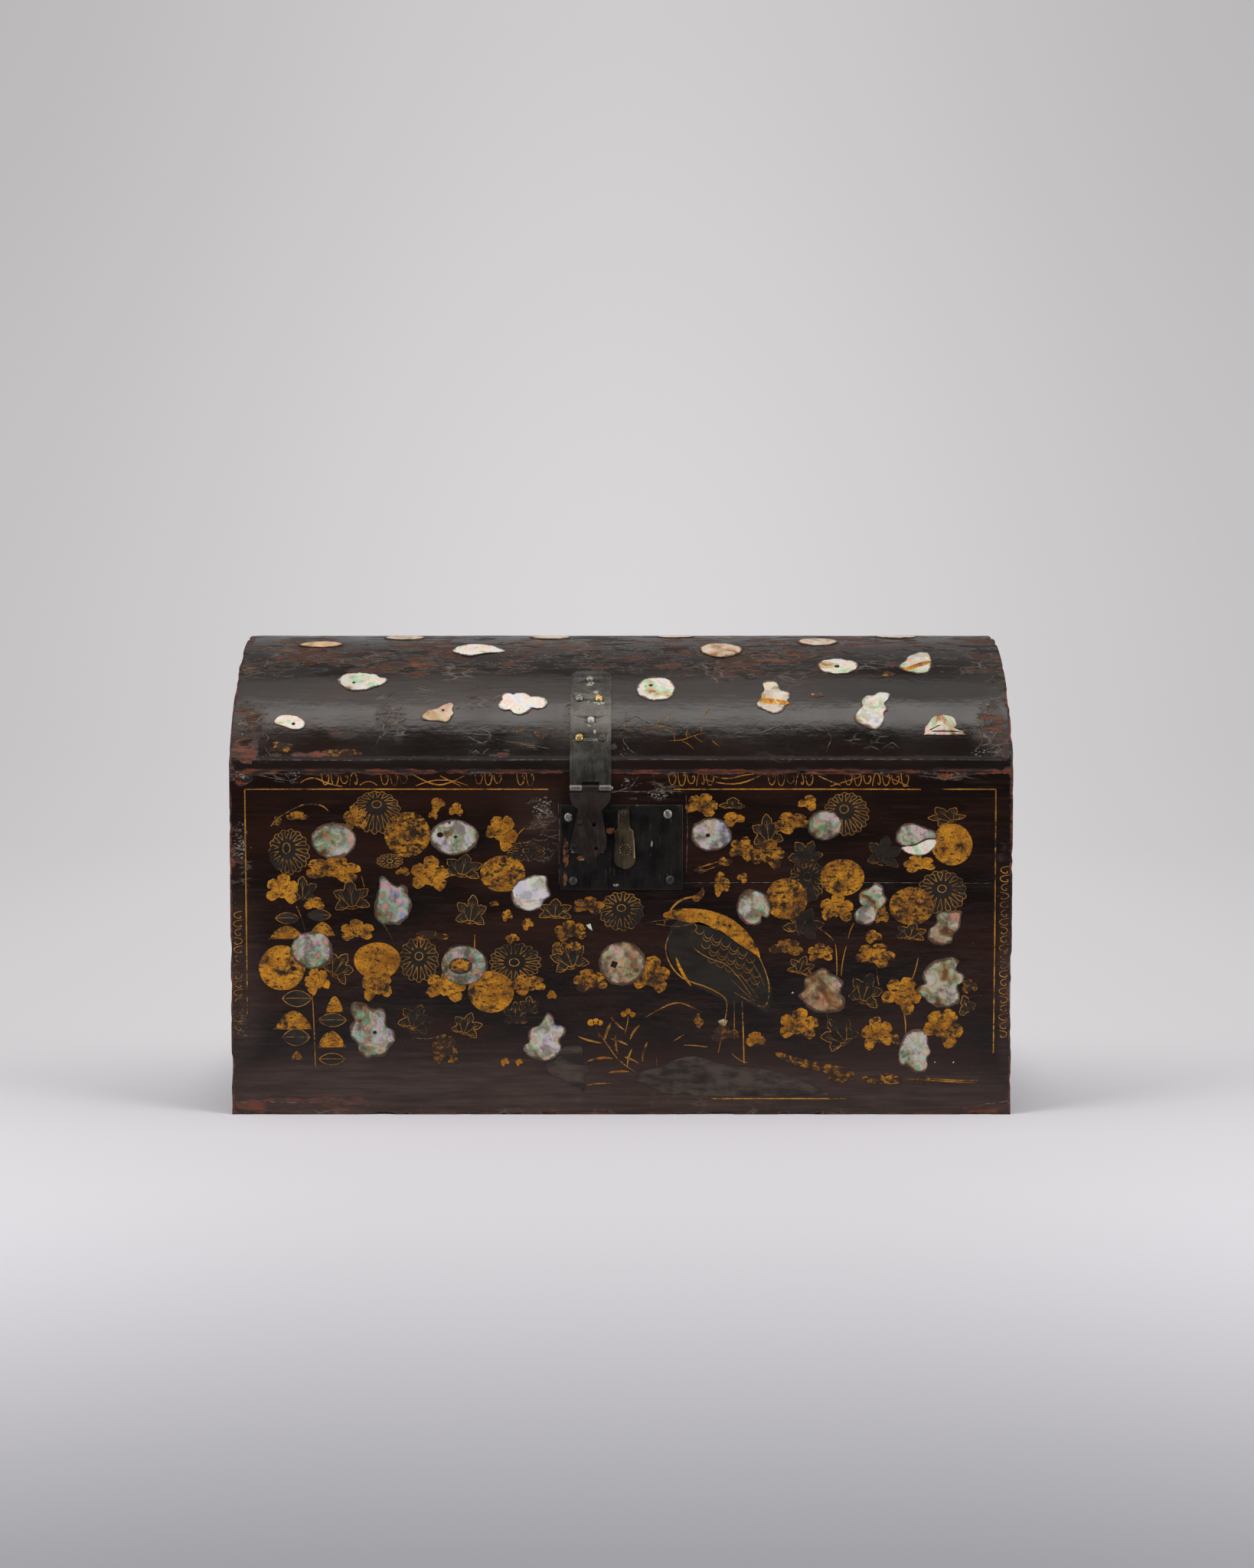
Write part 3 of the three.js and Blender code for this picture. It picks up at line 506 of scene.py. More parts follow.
# %% Body: the crack between the front boards
crack_height = 134.5 * MM
crack_from = 37 * MM
crack_to = 212 * MM
crack_depth = 0.6 * MM
crack_rows = (0, 0.4, 1.3)
crack_wander = 0.8
waves_per_metre = 60
row = body_height / grid_steps
middle_row = round(crack_height / row)
for vertex in body.data.vertices:
    place_now = vertex.co
    index = round(place_now.z / row)
    steps_off = index - middle_row
    on_skin = abs(place_now.y + depth / 2) < 0.01 * MM and abs(place_now.x) < width / 2 - 1 * MM
    if on_skin and abs(steps_off) <= 2:
        wander = noise.noise(Vector((place_now.x * waves_per_metre, 0, 0))) * crack_wander
        place_now.z = crack_height + (math.copysign(crack_rows[abs(steps_off)], steps_off) + wander) * MM
        if index == middle_row and crack_from < place_now.x < crack_to:
            place_now.y += crack_depth
print("crack at", crack_height / MM, "mm")
apply_modifier(body, "BEVEL", width=1.3 * MM, segments=3, limit_method="ANGLE", angle_limit=math.radians(60))

# %% [markdown]
# Behind the lock plate the board is cut out for the lock case, a little wider than the case, so that the
# staple can reach the bolt. A block is taken away from the tray there.

# %% Body: mortise for the lock case
case_low, case_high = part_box("lock_case")
mortise_gap = 0.2 * MM
clear_selection()
mortise_size = [high - low + 2 * mortise_gap for low, high in zip(case_low, case_high)]
mortise_middle = [(high + low) / 2 for low, high in zip(case_low, case_high)]
bpy.ops.mesh.primitive_cube_add(size=1, location=mortise_middle)
mortise = name_it("mortise_block")
mortise.scale = mortise_size
bpy.ops.object.transform_apply(location=True, rotation=True, scale=True)
for vertex in mortise.data.vertices:
    if vertex.co.y < -depth / 2:
        vertex.co.y -= 2 * MM
apply_modifier(body, "BOOLEAN", object=mortise, operation="DIFFERENCE", solver="EXACT")
pick_up(mortise)
bpy.ops.object.delete()
print("mortise cut:", [round(size / MM, 1) for size in mortise_size], "mm")

# %% [markdown]
# Wear is painted from lists of soft blobs. Each blob has a place on the surface, two radii and a strength.
# The same painter serves the body and the lid, and the material turns the soft blobs into ragged patches.

# %% Painter for wear
def clipped(value):
    """The value, kept between 0 and 1."""
    return min(1.0, max(0.0, value))


def blobs_at(blobs, across, up):
    """The strongest of the blobs at a point. Everything is in millimetres."""
    strongest = 0.0
    for x, z, radius_x, radius_z, strength in blobs:
        away = ((across - x) / radius_x) ** 2 + ((up - z) / radius_z) ** 2
        if away < 4:
            strongest = max(strongest, strength * math.exp(-away * away * 0.7))
    return strongest


def paint(piece, name, value_at):
    """Writes one number per vertex into an attribute."""
    values = [value_at(vertex.co) for vertex in piece.data.vertices]
    layer = piece.data.attributes.new(name, "FLOAT", "POINT")
    layer.data.foreach_set("value", values)


def wear_down(piece, gap_at, reach, deepest, centre):
    """Pushes vertices near an outer edge inwards by a noise that repeats every few millimetres."""
    for vertex in piece.data.vertices:
        gap = gap_at(vertex.co)
        if gap < reach:
            coarse = noise.noise(vertex.co * 48) * 0.8
            fine = noise.noise(vertex.co * 190 + Vector((3, 1, 2))) * 0.7
            bite = max(0.0, coarse + fine - 0.02) * deepest * (1 - gap / reach)
            vertex.co += (centre(vertex.co) - vertex.co).normalized() * bite


def ripple_skin(piece, gap_at, way_in, deepest):
    """Lets the outer skin sink and rise by a few tenths of a millimetre, and never past its true place."""
    for vertex in piece.data.vertices:
        if gap_at(vertex.co) < 0.5 * MM:
            wide = noise.noise(Vector((vertex.co.x * 26, vertex.co.y * 55, vertex.co.z * 55)))
            small = noise.noise(vertex.co * 140)
            sink = max(0.0, 0.5 + 0.62 * wide + 0.30 * small)
            vertex.co += way_in(vertex.co) * sink * deepest


# %% Body: wear
def body_arris(point):
    """Millimetres along the outer skin from a point to the nearest outer edge of the body."""
    gaps = sorted((width / 2 - abs(point.x), depth / 2 - abs(point.y), point.z, body_height - point.z))
    return min(gaps[1] / MM, 60.0)


front_rubs = [
    (-183, 5.5, 42, 6, 0.95), (-150, 9, 20, 3, 0.7), (208, 3, 18, 4, 0.8), (-220, 195, 9, 5, 0.9),
    (187, 196, 14, 2.5, 0.75), (-212, 154, 3, 3, 0.6), (-189, 196, 6, 2, 0.7), (-120, 44.5, 5, 2, 0.5),
    (-224, 150, 2.5, 22, 0.6), (224, 100, 2.5, 70, 0.5), (-30, 197, 14, 2, 0.6), (60, 197.5, 40, 1.5, 0.5),
    (-224, 100, 2, 90, 0.45), (-120, 1.5, 100, 2.4, 0.72), (90, 1.5, 130, 2, 0.62), (-8, 164.5, 3, 2, 0.5),
]
# Haze: greyed lacquer, and along the foot a painted grey sheen for the floor's reflection.
front_haze_and_sheen = [
    (-120, 8, 150, 26, 0.85), (120, 6, 150, 22, 0.7), (0, 12, 235, 14, 0.5), (-222, 60, 14, 60, 0.5),
    (-50, 165, 16, 26, 0.22), (222, 60, 5, 70, 0.4),
]
front_flakes = [
    (-47, 163, 14, 26, 0.85), (18, 187, 20, 7, 0.85), (0, 127, 20, 5, 0.7), (-120, 45, 10, 4, 0.7),
    (-219, 150, 7, 30, 0.9), (-218, 45, 6, 20, 0.7), (190, 196, 22, 4, 0.8), (219, 120, 5, 60, 0.6),
    (0, 7, 230, 9, 0.55), (-190, 194, 14, 6, 0.8), (206, 165, 6, 14, 0.6), (-60, 40, 40, 20, 0.35),
    (110, 150, 60, 40, 0.3), (-150, 60, 60, 60, 0.3),
]
front_scuffs = [
    (-45, 176, 9, 12, 0.92), (22, 186, 12, 5, 0.92), (4, 192, 6, 7, 0.85), (0, 126, 18, 4, 0.85),
    (-42, 155, 7, 18, 0.7), (-219, 47, 5, 13, 0.75), (-219, 158, 6, 16, 0.95), (-219, 196, 10, 6, 0.85),
    (188, 196, 16, 4, 0.9), (80, 197, 70, 2, 0.6), (-110, 197, 90, 2, 0.65), (-222.5, 100, 3, 90, 0.7),
    (222.5, 110, 2.5, 90, 0.6), (-120, 45, 8, 2.5, 0.75), (-188, 197, 8, 4, 0.95), (36, 150, 3, 30, 0.5),
    (-120, 4, 100, 4, 0.45), (216, 120, 5, 60, 0.5), (202, 165, 4, 12, 0.6), (0, 10, 220, 10, 0.36),
]


def on_front(point):
    """True on the front's outer skin."""
    return point.y < -depth / 2 + 2 * MM


def body_blobs(blobs, elsewhere):
    """A painter's value: the blobs on the front, and a weaker noise on the other outer sides."""
    def value_at(point):
        if on_front(point):
            return blobs_at(blobs, point.x / MM, point.z / MM)
        outside = min(width / 2 - abs(point.x), depth / 2 - abs(point.y), point.z) < 2 * MM
        return max(0.0, noise.noise(point * 9) * elsewhere) if outside else 0.0
    return value_at


paint(body, "arris_mm", body_arris)
paint(body, "rub", body_blobs(front_rubs, 0.5))
paint(body, "haze_and_sheen", body_blobs(front_haze_and_sheen, 0.9))
paint(body, "scuff", body_blobs(front_scuffs, 0.7))


def body_flake(point):
    """Cracked lacquer round the lock plate, along the foot and at the edges."""
    local = blobs_at(front_flakes, point.x / MM, point.z / MM) if on_front(point) else 0.0
    return max(local, 0.9 - body_arris(point) / 5)


paint(body, "flake", body_flake)


def body_middle(point):
    """A point inside the body, straight in from its outer skin."""
    return Vector((point.x * 0.9, point.y * 0.8, 0.1 + (point.z - 0.1) * 0.8))


wear_down(body, body_arris, 4.5, 2.3 * MM, body_middle)


def body_skin_gap(point):
    """How far a point lies behind the body's front."""
    return point.y + depth / 2


ripple_skin(body, body_skin_gap, lambda point: Vector((0, 1, 0)), 0.16 * MM)
smooth(body, 40)
boards = [n for n in frame["nodes"] if n.endswith("_board") or "_board_" in n]
hand_over(body, [body_lacquer], "black_lacquer", "coffer", *boards)
print("boards under the lacquer:", boards)

# %% [markdown]
# The lid is a shallow barrel vault on a narrow rim. One line along the front edge is spun round the vault's
# axis, its two long edges are drawn down into the rim, the D-shaped ends are filled and cut into a grid,
# and the skin is thickened inwards.

# %% Lid: spin the vault and close the ends
vault_centre_z = 153.44 * MM
vault_radius = 123.85 * MM
rim_top = 204.4 * MM
lid_wall = 9 * MM
spring_angle = math.asin((rim_top - vault_centre_z) / vault_radius)
start_y = -vault_radius * math.cos(spring_angle)
sweep_angle = math.pi - 2 * spring_angle
vault_steps = 72
clear_selection()
bpy.ops.mesh.primitive_plane_add(size=1, location=(0, start_y, rim_top))
lid = name_it("lacquered_lid")
lid.scale = (width, 1, 1)
bpy.ops.object.transform_apply(location=True, rotation=True, scale=True)
bpy.ops.object.mode_set(mode="EDIT")
choose(lid, "verts", lambda v: v.co.y > start_y)
bpy.ops.mesh.delete(type="VERT")
choose(lid, "verts", lambda v: True)
for vertex in bmesh.from_edit_mesh(lid.data).verts:
    vertex.co.y = start_y
for cuts in (grid_steps - 1, 2):
    choose(lid, "edges", lambda e: True)
    bpy.ops.mesh.subdivide(number_cuts=cuts)
choose(lid, "edges", lambda e: True)
bpy.ops.mesh.spin(
    steps=vault_steps, angle=sweep_angle, center=(0, 0, vault_centre_z), axis=(1, 0, 0), use_auto_merge=False
)
bpy.ops.mesh.select_all(action="SELECT")
bpy.ops.mesh.remove_doubles(threshold=0.01 * MM)
top_of_lid = max(v.co.z for v in bmesh.from_edit_mesh(lid.data).verts)
print("vault top at", round(top_of_lid / MM, 2), "mm")

# %% Lid: rim, ends and wall
def is_front_or_back_edge(edge):
    """True for the vault's two long boundary edges."""
    return all(abs(v.co.z - rim_top) < 0.05 * MM for v in edge.verts) and runs_along(edge, 0)


for side in (-1, 1):
    choose(lid, "edges", lambda e: is_front_or_back_edge(e) and e.verts[0].co.y * side > 0)
    flare = (0, side * (depth / 2 + start_y), body_height - rim_top)
    bpy.ops.mesh.extrude_region_move(TRANSFORM_OT_translate={"value": flare})


def on_end(vertex, end):
    """True when a vertex lies on the left (-1) or right (1) end of the lid."""
    return abs(vertex.co.x - end * width / 2) < 0.1 * MM


end_grid = 5 * MM
cuts_aside = int(depth / 2 / end_grid)
cuts_up = int((top_of_lid - body_height) / end_grid)
for end in (-1, 1):
    choose(lid, "verts", lambda v: on_end(v, end) and abs(v.co.z - body_height) < 0.05 * MM)
    bpy.ops.mesh.edge_face_add()
    choose(lid, "edges", lambda e: len(e.link_faces) < 2 and all(on_end(v, end) for v in e.verts))
    bpy.ops.mesh.edge_face_add()
    for k in range(-cuts_aside, cuts_aside + 1):
        choose(lid, "faces", lambda f: all(on_end(v, end) for v in f.verts))
        bpy.ops.mesh.bisect(plane_co=(0, k * end_grid, 0), plane_no=(0, 1, 0))
    for k in range(1, cuts_up + 1):
        choose(lid, "faces", lambda f: all(on_end(v, end) for v in f.verts))
        bpy.ops.mesh.bisect(plane_co=(0, 0, body_height + k * end_grid), plane_no=(0, 0, 1))
bpy.ops.mesh.select_all(action="SELECT")
bpy.ops.mesh.normals_make_consistent(inside=False)
bpy.ops.object.mode_set(mode="OBJECT")
print("faces that look up:", sum(f.normal.z > 0.3 for f in lid.data.polygons), "of", len(lid.data.polygons))
apply_modifier(lid, "SOLIDIFY", thickness=lid_wall, offset=-1, use_even_offset=True)
apply_modifier(lid, "BEVEL", width=1.2 * MM, segments=3, limit_method="ANGLE", angle_limit=math.radians(60))

# %% [markdown]
# On the lid a place is given by x and by the arc length s up from the rim, as a tape laid over the vault
# would read. The crown is cracked and has lost flakes, the rim strip is rubbed to red-brown wood, and both
# ends are worn along their curve.

# %% Lid: wear
def arc_of(point):
    """Millimetres up the vault from the top of the rim, over the front."""
    turned = math.atan2(point.z - vault_centre_z, -point.y)
    return (turned - spring_angle) * vault_radius / MM


def lid_skin_gap(point):
    """How far a point lies under the lid's outer skin."""
    if point.z > rim_top:
        return vault_radius - math.hypot(point.y, point.z - vault_centre_z)
    return depth / 2 - abs(point.y)


def lid_arris(point):
    """Millimetres along the outer skin to the lid's nearest outer edge."""
    gaps = sorted((width / 2 - abs(point.x), lid_skin_gap(point), point.z - body_height))
    return min(gaps[1] / MM, 60.0)


lid_rubs = [
    (-216, 8, 10, 9, 0.85), (-214, 88, 4, 10, 0.6), (-57, 67.5, 8, 2.5, 0.6), (-26, 71, 9, 3, 0.6),
    (-27.5, 83, 4, 8, 0.55), (31.5, 93, 3, 7, 0.5), (-70, 4, 8, 3.5, 0.7), (-224, 60, 3, 80, 0.5),
    (223, 70, 4, 80, 0.45), (-160, 18.5, 8, 2.5, 0.65), (-176, 5, 30, 3.2, 0.72), (-52, 13, 12, 2.4, 0.6),
    (219, 6, 8, 8, 0.7), (-5, 9, 3, 4, 0.7), (-80, 108, 40, 5, 0.5), (60, 104, 60, 4, 0.42),
    (-150, 92, 30, 5, 0.45), (120, 96, 40, 5, 0.4), (-223, 130, 4, 60, 0.6), (222, 150, 4, 60, 0.6),
]
# Haze: greyed lacquer, and across the middle of the vault a painted grey sheen for the soft box's reflection.
lid_haze_and_sheen = [
    (-215, 24, 14, 18, 0.4), (216, 24, 12, 18, 0.4), (-100, 47, 110, 14, 0.4), (60, 48, 60, 12, 0.25),
    (-30, 20, 14, 14, 0.3), (-95, 60, 60, 6, 0.35), (70, 62, 80, 6, 0.3),
]
lid_scuffs = [
    (216, 24, 7, 18, 0.8), (-217, 22, 7, 16, 0.85), (-138, 30, 2.5, 18, 0.75), (-130, 24, 2.5, 16, 0.75),
    (-160, 18, 10, 3, 0.7), (-204, 2, 14, 4, 0.75), (2, 6, 5, 8, 0.8), (208, 5, 13, 5, 0.85),
    (-34, 10, 6, 12, 0.6), (-85, 6, 8, 5, 0.7), (40, 3, 60, 2.5, 0.3), (-110, 2, 90, 2, 0.35),
    (150, 2, 60, 2, 0.35),
]
lid_flakes = [
    (-216, 26, 12, 22, 1.0), (215, 24, 10, 22, 1.0), (-137, 30, 8, 20, 0.85), (-128, 22, 5, 16, 0.8),
    (-160, 18, 12, 4, 1.0), (-57, 12, 16, 9, 0.85), (-70, 5, 14, 4, 0.8), (-30, 30, 5, 24, 0.7),
    (3, 26, 5, 16, 0.6), (206, 16, 5, 5, 1.0), (-90, 30, 30, 8, 0.5), (80, 22, 40, 6, 0.5),
    (140, 12, 40, 8, 0.55),
]


def lid_blobs(blobs, rim_value, elsewhere):
    """A painter's value for the lid: blobs over the front half, the rim strip, and noise over the rest."""
    def value_at(point):
        if lid_skin_gap(point) > 2 * MM and width / 2 - abs(point.x) > 2 * MM:
            return 0.0
        if point.z < rim_top - 0.1 * MM:
            return rim_value * (0.75 + noise.noise(point * 40) * 0.8)
        value = max(0.0, noise.noise(point * 11) * elsewhere)
        return max(value, blobs_at(blobs, point.x / MM, arc_of(point)))
    return value_at


def lid_flake(point):
    """Cracked lacquer over the crown, and less of it down the back."""
    if lid_skin_gap(point) > 2 * MM or point.z < rim_top:
        return 0.0
    onset = 54 + noise.noise(point * 14) * 16
    crown = clipped((arc_of(point) - onset) / 12) * (0.95 + noise.noise(point * 30) * 0.3)
    crown *= 1 - 0.6 * clipped((arc_of(point) - 135) / 30)
    local = blobs_at(lid_flakes, point.x / MM, arc_of(point))
    edge = max(0.0, 0.9 - lid_arris(point) / 5)
    return max(crown, local, edge, 0.35 + noise.noise(point * 20) * 0.5)


paint(lid, "arris_mm", lid_arris)
paint(lid, "rub", lid_blobs(lid_rubs, 0.12, 0.25))
paint(lid, "haze_and_sheen", lid_blobs(lid_haze_and_sheen, 0.1, 0.15))
paint(lid, "scuff", lid_blobs(lid_scuffs, 0.25, 0.5))
paint(lid, "flake", lid_flake)


def towards_axis(point):
    """The way from the vault's skin to its axis."""
    return Vector((0, -point.y, vault_centre_z - point.z)).normalized()


wear_down(lid, lid_arris, 4.5, 2.0 * MM, lambda p: Vector((p.x * 0.9, p.y * 0.8, 0.2 + (p.z - 0.2) * 0.8)))


def vault_skin_gap(point):
    """How far a point lies under the vault, and much more on the rim, which stays smooth."""
    return lid_skin_gap(point) if point.z > rim_top + 4 * MM else 1.0


ripple_skin(lid, vault_skin_gap, towards_axis, 0.30 * MM)
for vertex in lid.data.vertices:
    vertex.co.x = max(-width / 2, min(width / 2, vertex.co.x))
smooth(lid, 40)
lid_parts = ("lid_stave", "lid_front", "lid_back", "lid_left", "lid_right")
staves = [n for n in frame["nodes"] if n.startswith(lid_parts)]
hand_over(lid, [lid_lacquer], "black_lacquer", "lid", *staves)
print("staves and rims under the lacquer:", staves)

# %% [markdown]
# Iron that has been handled is dark and dense, brushed by polishing, paler along its edges, with brown rust
# in its hollows and a few white spots of corrosion. One maker gives all the irons, each with its own tones.

# %% Materials: a maker of metals
def patch_mask(tree, place, patches_xz):
    """A soft mask over some upright ovals: x, z and two radii in millimetres."""
    mask = None
    for x, z, radius_x, radius_z in patches_xz:
        near = {
            "Vector": place,
            "Location": (-x / radius_x, 0, -z / radius_z),
            "Scale": (1 / (radius_x * MM), 0, 1 / (radius_z * MM)),
        }
        away = add(tree, "ShaderNodeMapping", near).outputs[0]
        away = add(tree, "ShaderNodeVectorMath", {0: away}, operation="LENGTH").outputs["Value"]
        here = remap(tree, away, 0.55, 1.3, 1.0, 0.0)
        mask = here if mask is None else maths(tree, "MAXIMUM", mask, here)
    return mask


def more_at(tree, place, amount, patches_xz, share):
    """An amount that is higher by share inside some upright ovals."""
    if not patches_xz:
        return amount
    return plus_share(tree, amount, patch_mask(tree, place, patches_xz), share)


def iron(
    name, dark, light, rust, rust_amount, metallic, rough_low, rough_high,
    pale_places=(), rust_places=(), gloss=0.5, scratches=0.2,
):
    """A metal brushed up and down, with ragged rust and ragged pale corrosion."""
    material, tree, shader, place = start_material(name)
    brushed = cloud(tree, stretched(tree, place, (1, 1, 0.10)), 700.0, 4.0, 0.6)
    blotch = cloud(tree, place, 90.0, 5.0, 0.6)
    mixed = plus_share(tree, maths(tree, "MULTIPLY", brushed, 0.45), blotch, 0.75)
    base = blend_colours(tree, remap(tree, mixed, 0.45, 0.78), dark, light)
    rusty = ragged(tree, place, 330.0, more_at(tree, place, rust_amount, rust_places, 0.45), 0.06)
    base = blend_colours(tree, rusty, base, rust)
    pale = ragged(tree, place, 500.0, more_at(tree, place, 0.24, pale_places, 0.31), 0.03)
    base = tinted(tree, base, pale, 0.75, colour(0.34, 0.31, 0.26))
    scored = ragged(tree, stretched(tree, place, (1, 1, 0.05)), 1500.0, scratches, 0.03)
    base = tinted(tree, base, scored, 0.6, colour(0.16, 0.145, 0.13))
    rough = plus_share(tree, remap(tree, mixed, 0.4, 0.8, rough_low, rough_high), rusty, 0.35, clamp=True)
    shine = plus_share(tree, metallic, rusty, -metallic)
    shine = plus_share(tree, shine, pale, -0.4, clamp=True)
    tree.links.new(shine, shader.inputs["Metallic"])
    height = plus_share(tree, maths(tree, "MULTIPLY", brushed, 0.2), blotch, 0.8)
    height = plus_share(tree, height, rusty, 0.4)
    wire(tree, shader, base, rough, height, 0.00012, 0.6, gloss)
    return material


def under_heads(nodes, drop, radius_x, radius_z):
    """Ovals just below the heads of these packed fittings, where damp has left a pale crescent."""
    places = []
    for node in nodes:
        low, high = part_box(node)
        places.append(((low[0] + high[0]) / 2 / MM, (low[2] + high[2]) / 2 / MM - drop, radius_x, radius_z))
    return places


# %% Materials: irons, steel and brass
crescents = under_heads(("strap_nail", "strap_rivet"), 1.2, 3.0, 1.8)
crescents += under_heads(("strap_screw_upper_right",), 1.4, 3.8, 1.3)
strap_marks = [(-14.8, 243.6, 1.7, 1.4), (-19.0, 237.8, 1.0, 0.9), (-15.2, 221.2, 1.0, 1.8)]
rust_brown = colour(0.15, 0.055, 0.022)
strap_iron = iron(
    "strap_iron", colour(0.027, 0.0255, 0.022), colour(0.078, 0.073, 0.063), rust_brown,
    0.08, 0.55, 0.23, 0.33,
    pale_places=crescents + strap_marks,
)
leaf_iron = iron(
    "leaf_iron", colour(0.005, 0.0021, 0.0019), colour(0.016, 0.0068, 0.0058), rust_brown,
    0.10, 0.1, 0.34, 0.48,
    gloss=0.3,
)
plate_iron = iron(
    "plate_iron", colour(0.0022, 0.0018, 0.0016), colour(0.0090, 0.0076, 0.0068), rust_brown,
    0.09, 0.05, 0.36, 0.52,
    pale_places=((-22.5, 147.9, 1.6, 0.8), (-3.0, 133.2, 2, 1), (17.5, 157, 0.8, 2), (9, 180, 0.7, 2)),
    rust_places=((-31.8, 151, 2.2, 12), (-32.2, 137, 1.4, 6), (-6.0, 164.5, 3.4, 2.6), (-23.5, 148.5, 3, 2)),
    gloss=0.14, scratches=0.32,
)
steel = iron(
    "worn_steel", colour(0.13, 0.12, 0.11), colour(0.36, 0.34, 0.31), rust_brown, 0.2, 0.85, 0.28, 0.45
)
dull_steel = iron(
    "dull_steel", colour(0.020, 0.018, 0.016), colour(0.075, 0.066, 0.058), rust_brown, 0.2, 0.5, 0.32, 0.5
)
brass = iron(
    "old_brass", colour(0.012, 0.0085, 0.0048), colour(0.060, 0.042, 0.019), colour(0.02, 0.012, 0.007),
    0.2, 0.5, 0.30, 0.44,
)
screw_brass = iron(
    "screw_brass", colour(0.24, 0.165, 0.065), colour(0.56, 0.42, 0.19), colour(0.04, 0.02, 0.01),
    0.14, 0.9, 0.24, 0.38,
)
worn_edge = iron(
    "worn_edge", colour(0.11, 0.095, 0.085), colour(0.26, 0.235, 0.21), rust_brown, 0.22, 0.75, 0.30, 0.48
)
print("metals ready")

# %% [markdown]
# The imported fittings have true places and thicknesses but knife-sharp edges. Each is copied, its loose
# triangles are merged and flattened into whole faces, and its edges are bevelled. The bevel's own faces
# take a second, paler metal, as rubbed edges do.

# %% Fittings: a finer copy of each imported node
body_of_node = {n: b for b, members in frame["record"]["behaviour"]["bodies"].items() for n in members}


def refine(node, bevel_mm):
    """Copies a packed fitting and bevels its edges. The bevel's faces take the second metal."""
    packed = frame["nodes"][node]
    piece = bpy.data.objects.new(node + "_worn", packed.data.copy())
    bpy.context.scene.collection.objects.link(piece)
    pick_up(piece)
    bpy.ops.object.mode_set(mode="EDIT")
    bpy.ops.mesh.select_all(action="SELECT")
    bpy.ops.mesh.remove_doubles(threshold=0.01 * MM)
    bpy.ops.mesh.dissolve_limited(angle_limit=math.radians(1))
    bpy.ops.object.mode_set(mode="OBJECT")
    piece.data.materials.clear()
    piece.data.materials.append(steel)
    piece.data.materials.append(steel)
    for polygon in piece.data.polygons:
        polygon.material_index = 0
    apply_modifier(
        piece, "BEVEL", width=bevel_mm * MM, segments=2, limit_method="ANGLE", angle_limit=math.radians(40),
        material=1,
    )
    smooth(piece, 30)
    return piece


def hand_over_fitting(piece, node, metal, edge_metal, slot):
    """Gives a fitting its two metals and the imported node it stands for, and keeps which face has which."""
    piece.data.materials[0] = metal
    piece.data.materials[1] = edge_metal
    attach(piece, body_of_node[node])
    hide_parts(node)
    print(piece.name, len(piece.data.polygons), "faces")


def polish_faces(piece, rubbed):
    """Gives the second, paler metal to the faces that hands and the pin have rubbed."""
    for polygon in piece.data.polygons:
        if rubbed(polygon.center):
            polygon.material_index = 1


# %% Fittings: hand over each copy with its metals
knuckle_height = 191.2 * MM
strap_piece = refine("hasp_strap", 0.4)
polish_faces(strap_piece, lambda centre: centre.z < knuckle_height)
hand_over_fitting(strap_piece, "hasp_strap", strap_iron, worn_edge, "strap_iron")
leaf_piece = refine("hasp_leaf", 0.25)
hand_over_fitting(leaf_piece, "hasp_leaf", leaf_iron, worn_edge, "leaf_iron")
hand_over_fitting(refine("lock_plate", 0.32), "lock_plate", plate_iron, worn_edge, "plate_iron")
for node in frame["nodes"]:
    if node.startswith("back_hinge"):
        hand_over_fitting(refine(node, 0.2), node, strap_iron, worn_edge, "strap_iron")
for node, metal, slot in (
    ("hasp_hinge_pin", worn_edge, "steel"),
    ("strap_nail", steel, "steel"),
    ("strap_rivet", steel, "steel"),
    ("strap_screw_upper_left", steel, "steel"),
    ("strap_screw_upper_right", screw_brass, "brass"),
    ("strap_screw_lower_left", screw_brass, "brass"),
    ("strap_screw_lower_right", dull_steel, "steel"),
    ("keyhole_cover_rivet", brass, "brass"),
    ("hasp_staple", steel, "steel"),
    ("staple_rivet_1", leaf_iron, "steel"),
    ("staple_rivet_2", leaf_iron, "steel"),
):
    hand_over_fitting(refine(node, 0.15), node, metal, metal, slot)
for node in frame["nodes"]:
    if node.startswith("lock_plate_screw"):
        metal = steel if "upper" in node else dull_steel
        hand_over_fitting(refine(node, 0.15), node, metal, metal, "steel")
    elif "leaf_screw" in node:
        hand_over_fitting(refine(node, 0.15), node, steel, steel, "steel")

# %% [markdown]
# The keyhole cover is cast brass, swelling towards the middle, with a ring of punched dots on its bulb. The
# packed outline is kept. Its front face is cut into a fine grid, the grid is drawn forward into a crown that
# dies out towards the neck and the rim, and one tiny dome is copied round a circle for the dots. The faces of
# its right flank take a brighter brass, a painted highlight.

# %% Keyhole cover
cover_neck_x = 1.3
cover_neck_z = 174.6
cover_lean = math.tan(math.radians(1.5))
cover_half = 6.2
cover_foot_z = 142.4
foot_slope = 7
crown_end_z = 167
neck_slope = 6
cover_crown = 0.95
dot_ring_x, dot_ring_z, dot_ring_radius = 2.1, 153.7, 3.1
dot_radius = 0.42
dot_count = 12
cut_gap = 1.3
painted_highlight_below = 168 * MM


def crown_at(x, z):
    """How far the cover's face stands forward at a point, in millimetres."""
    aside = (x - cover_neck_x - (cover_neck_z - z) * cover_lean) / cover_half
    from_foot = clipped((z - cover_foot_z) / foot_slope)
    from_neck = clipped((crown_end_z - z) / neck_slope)
    return cover_crown * max(0.0, 1 - aside * aside) * math.sqrt(from_foot) * from_neck


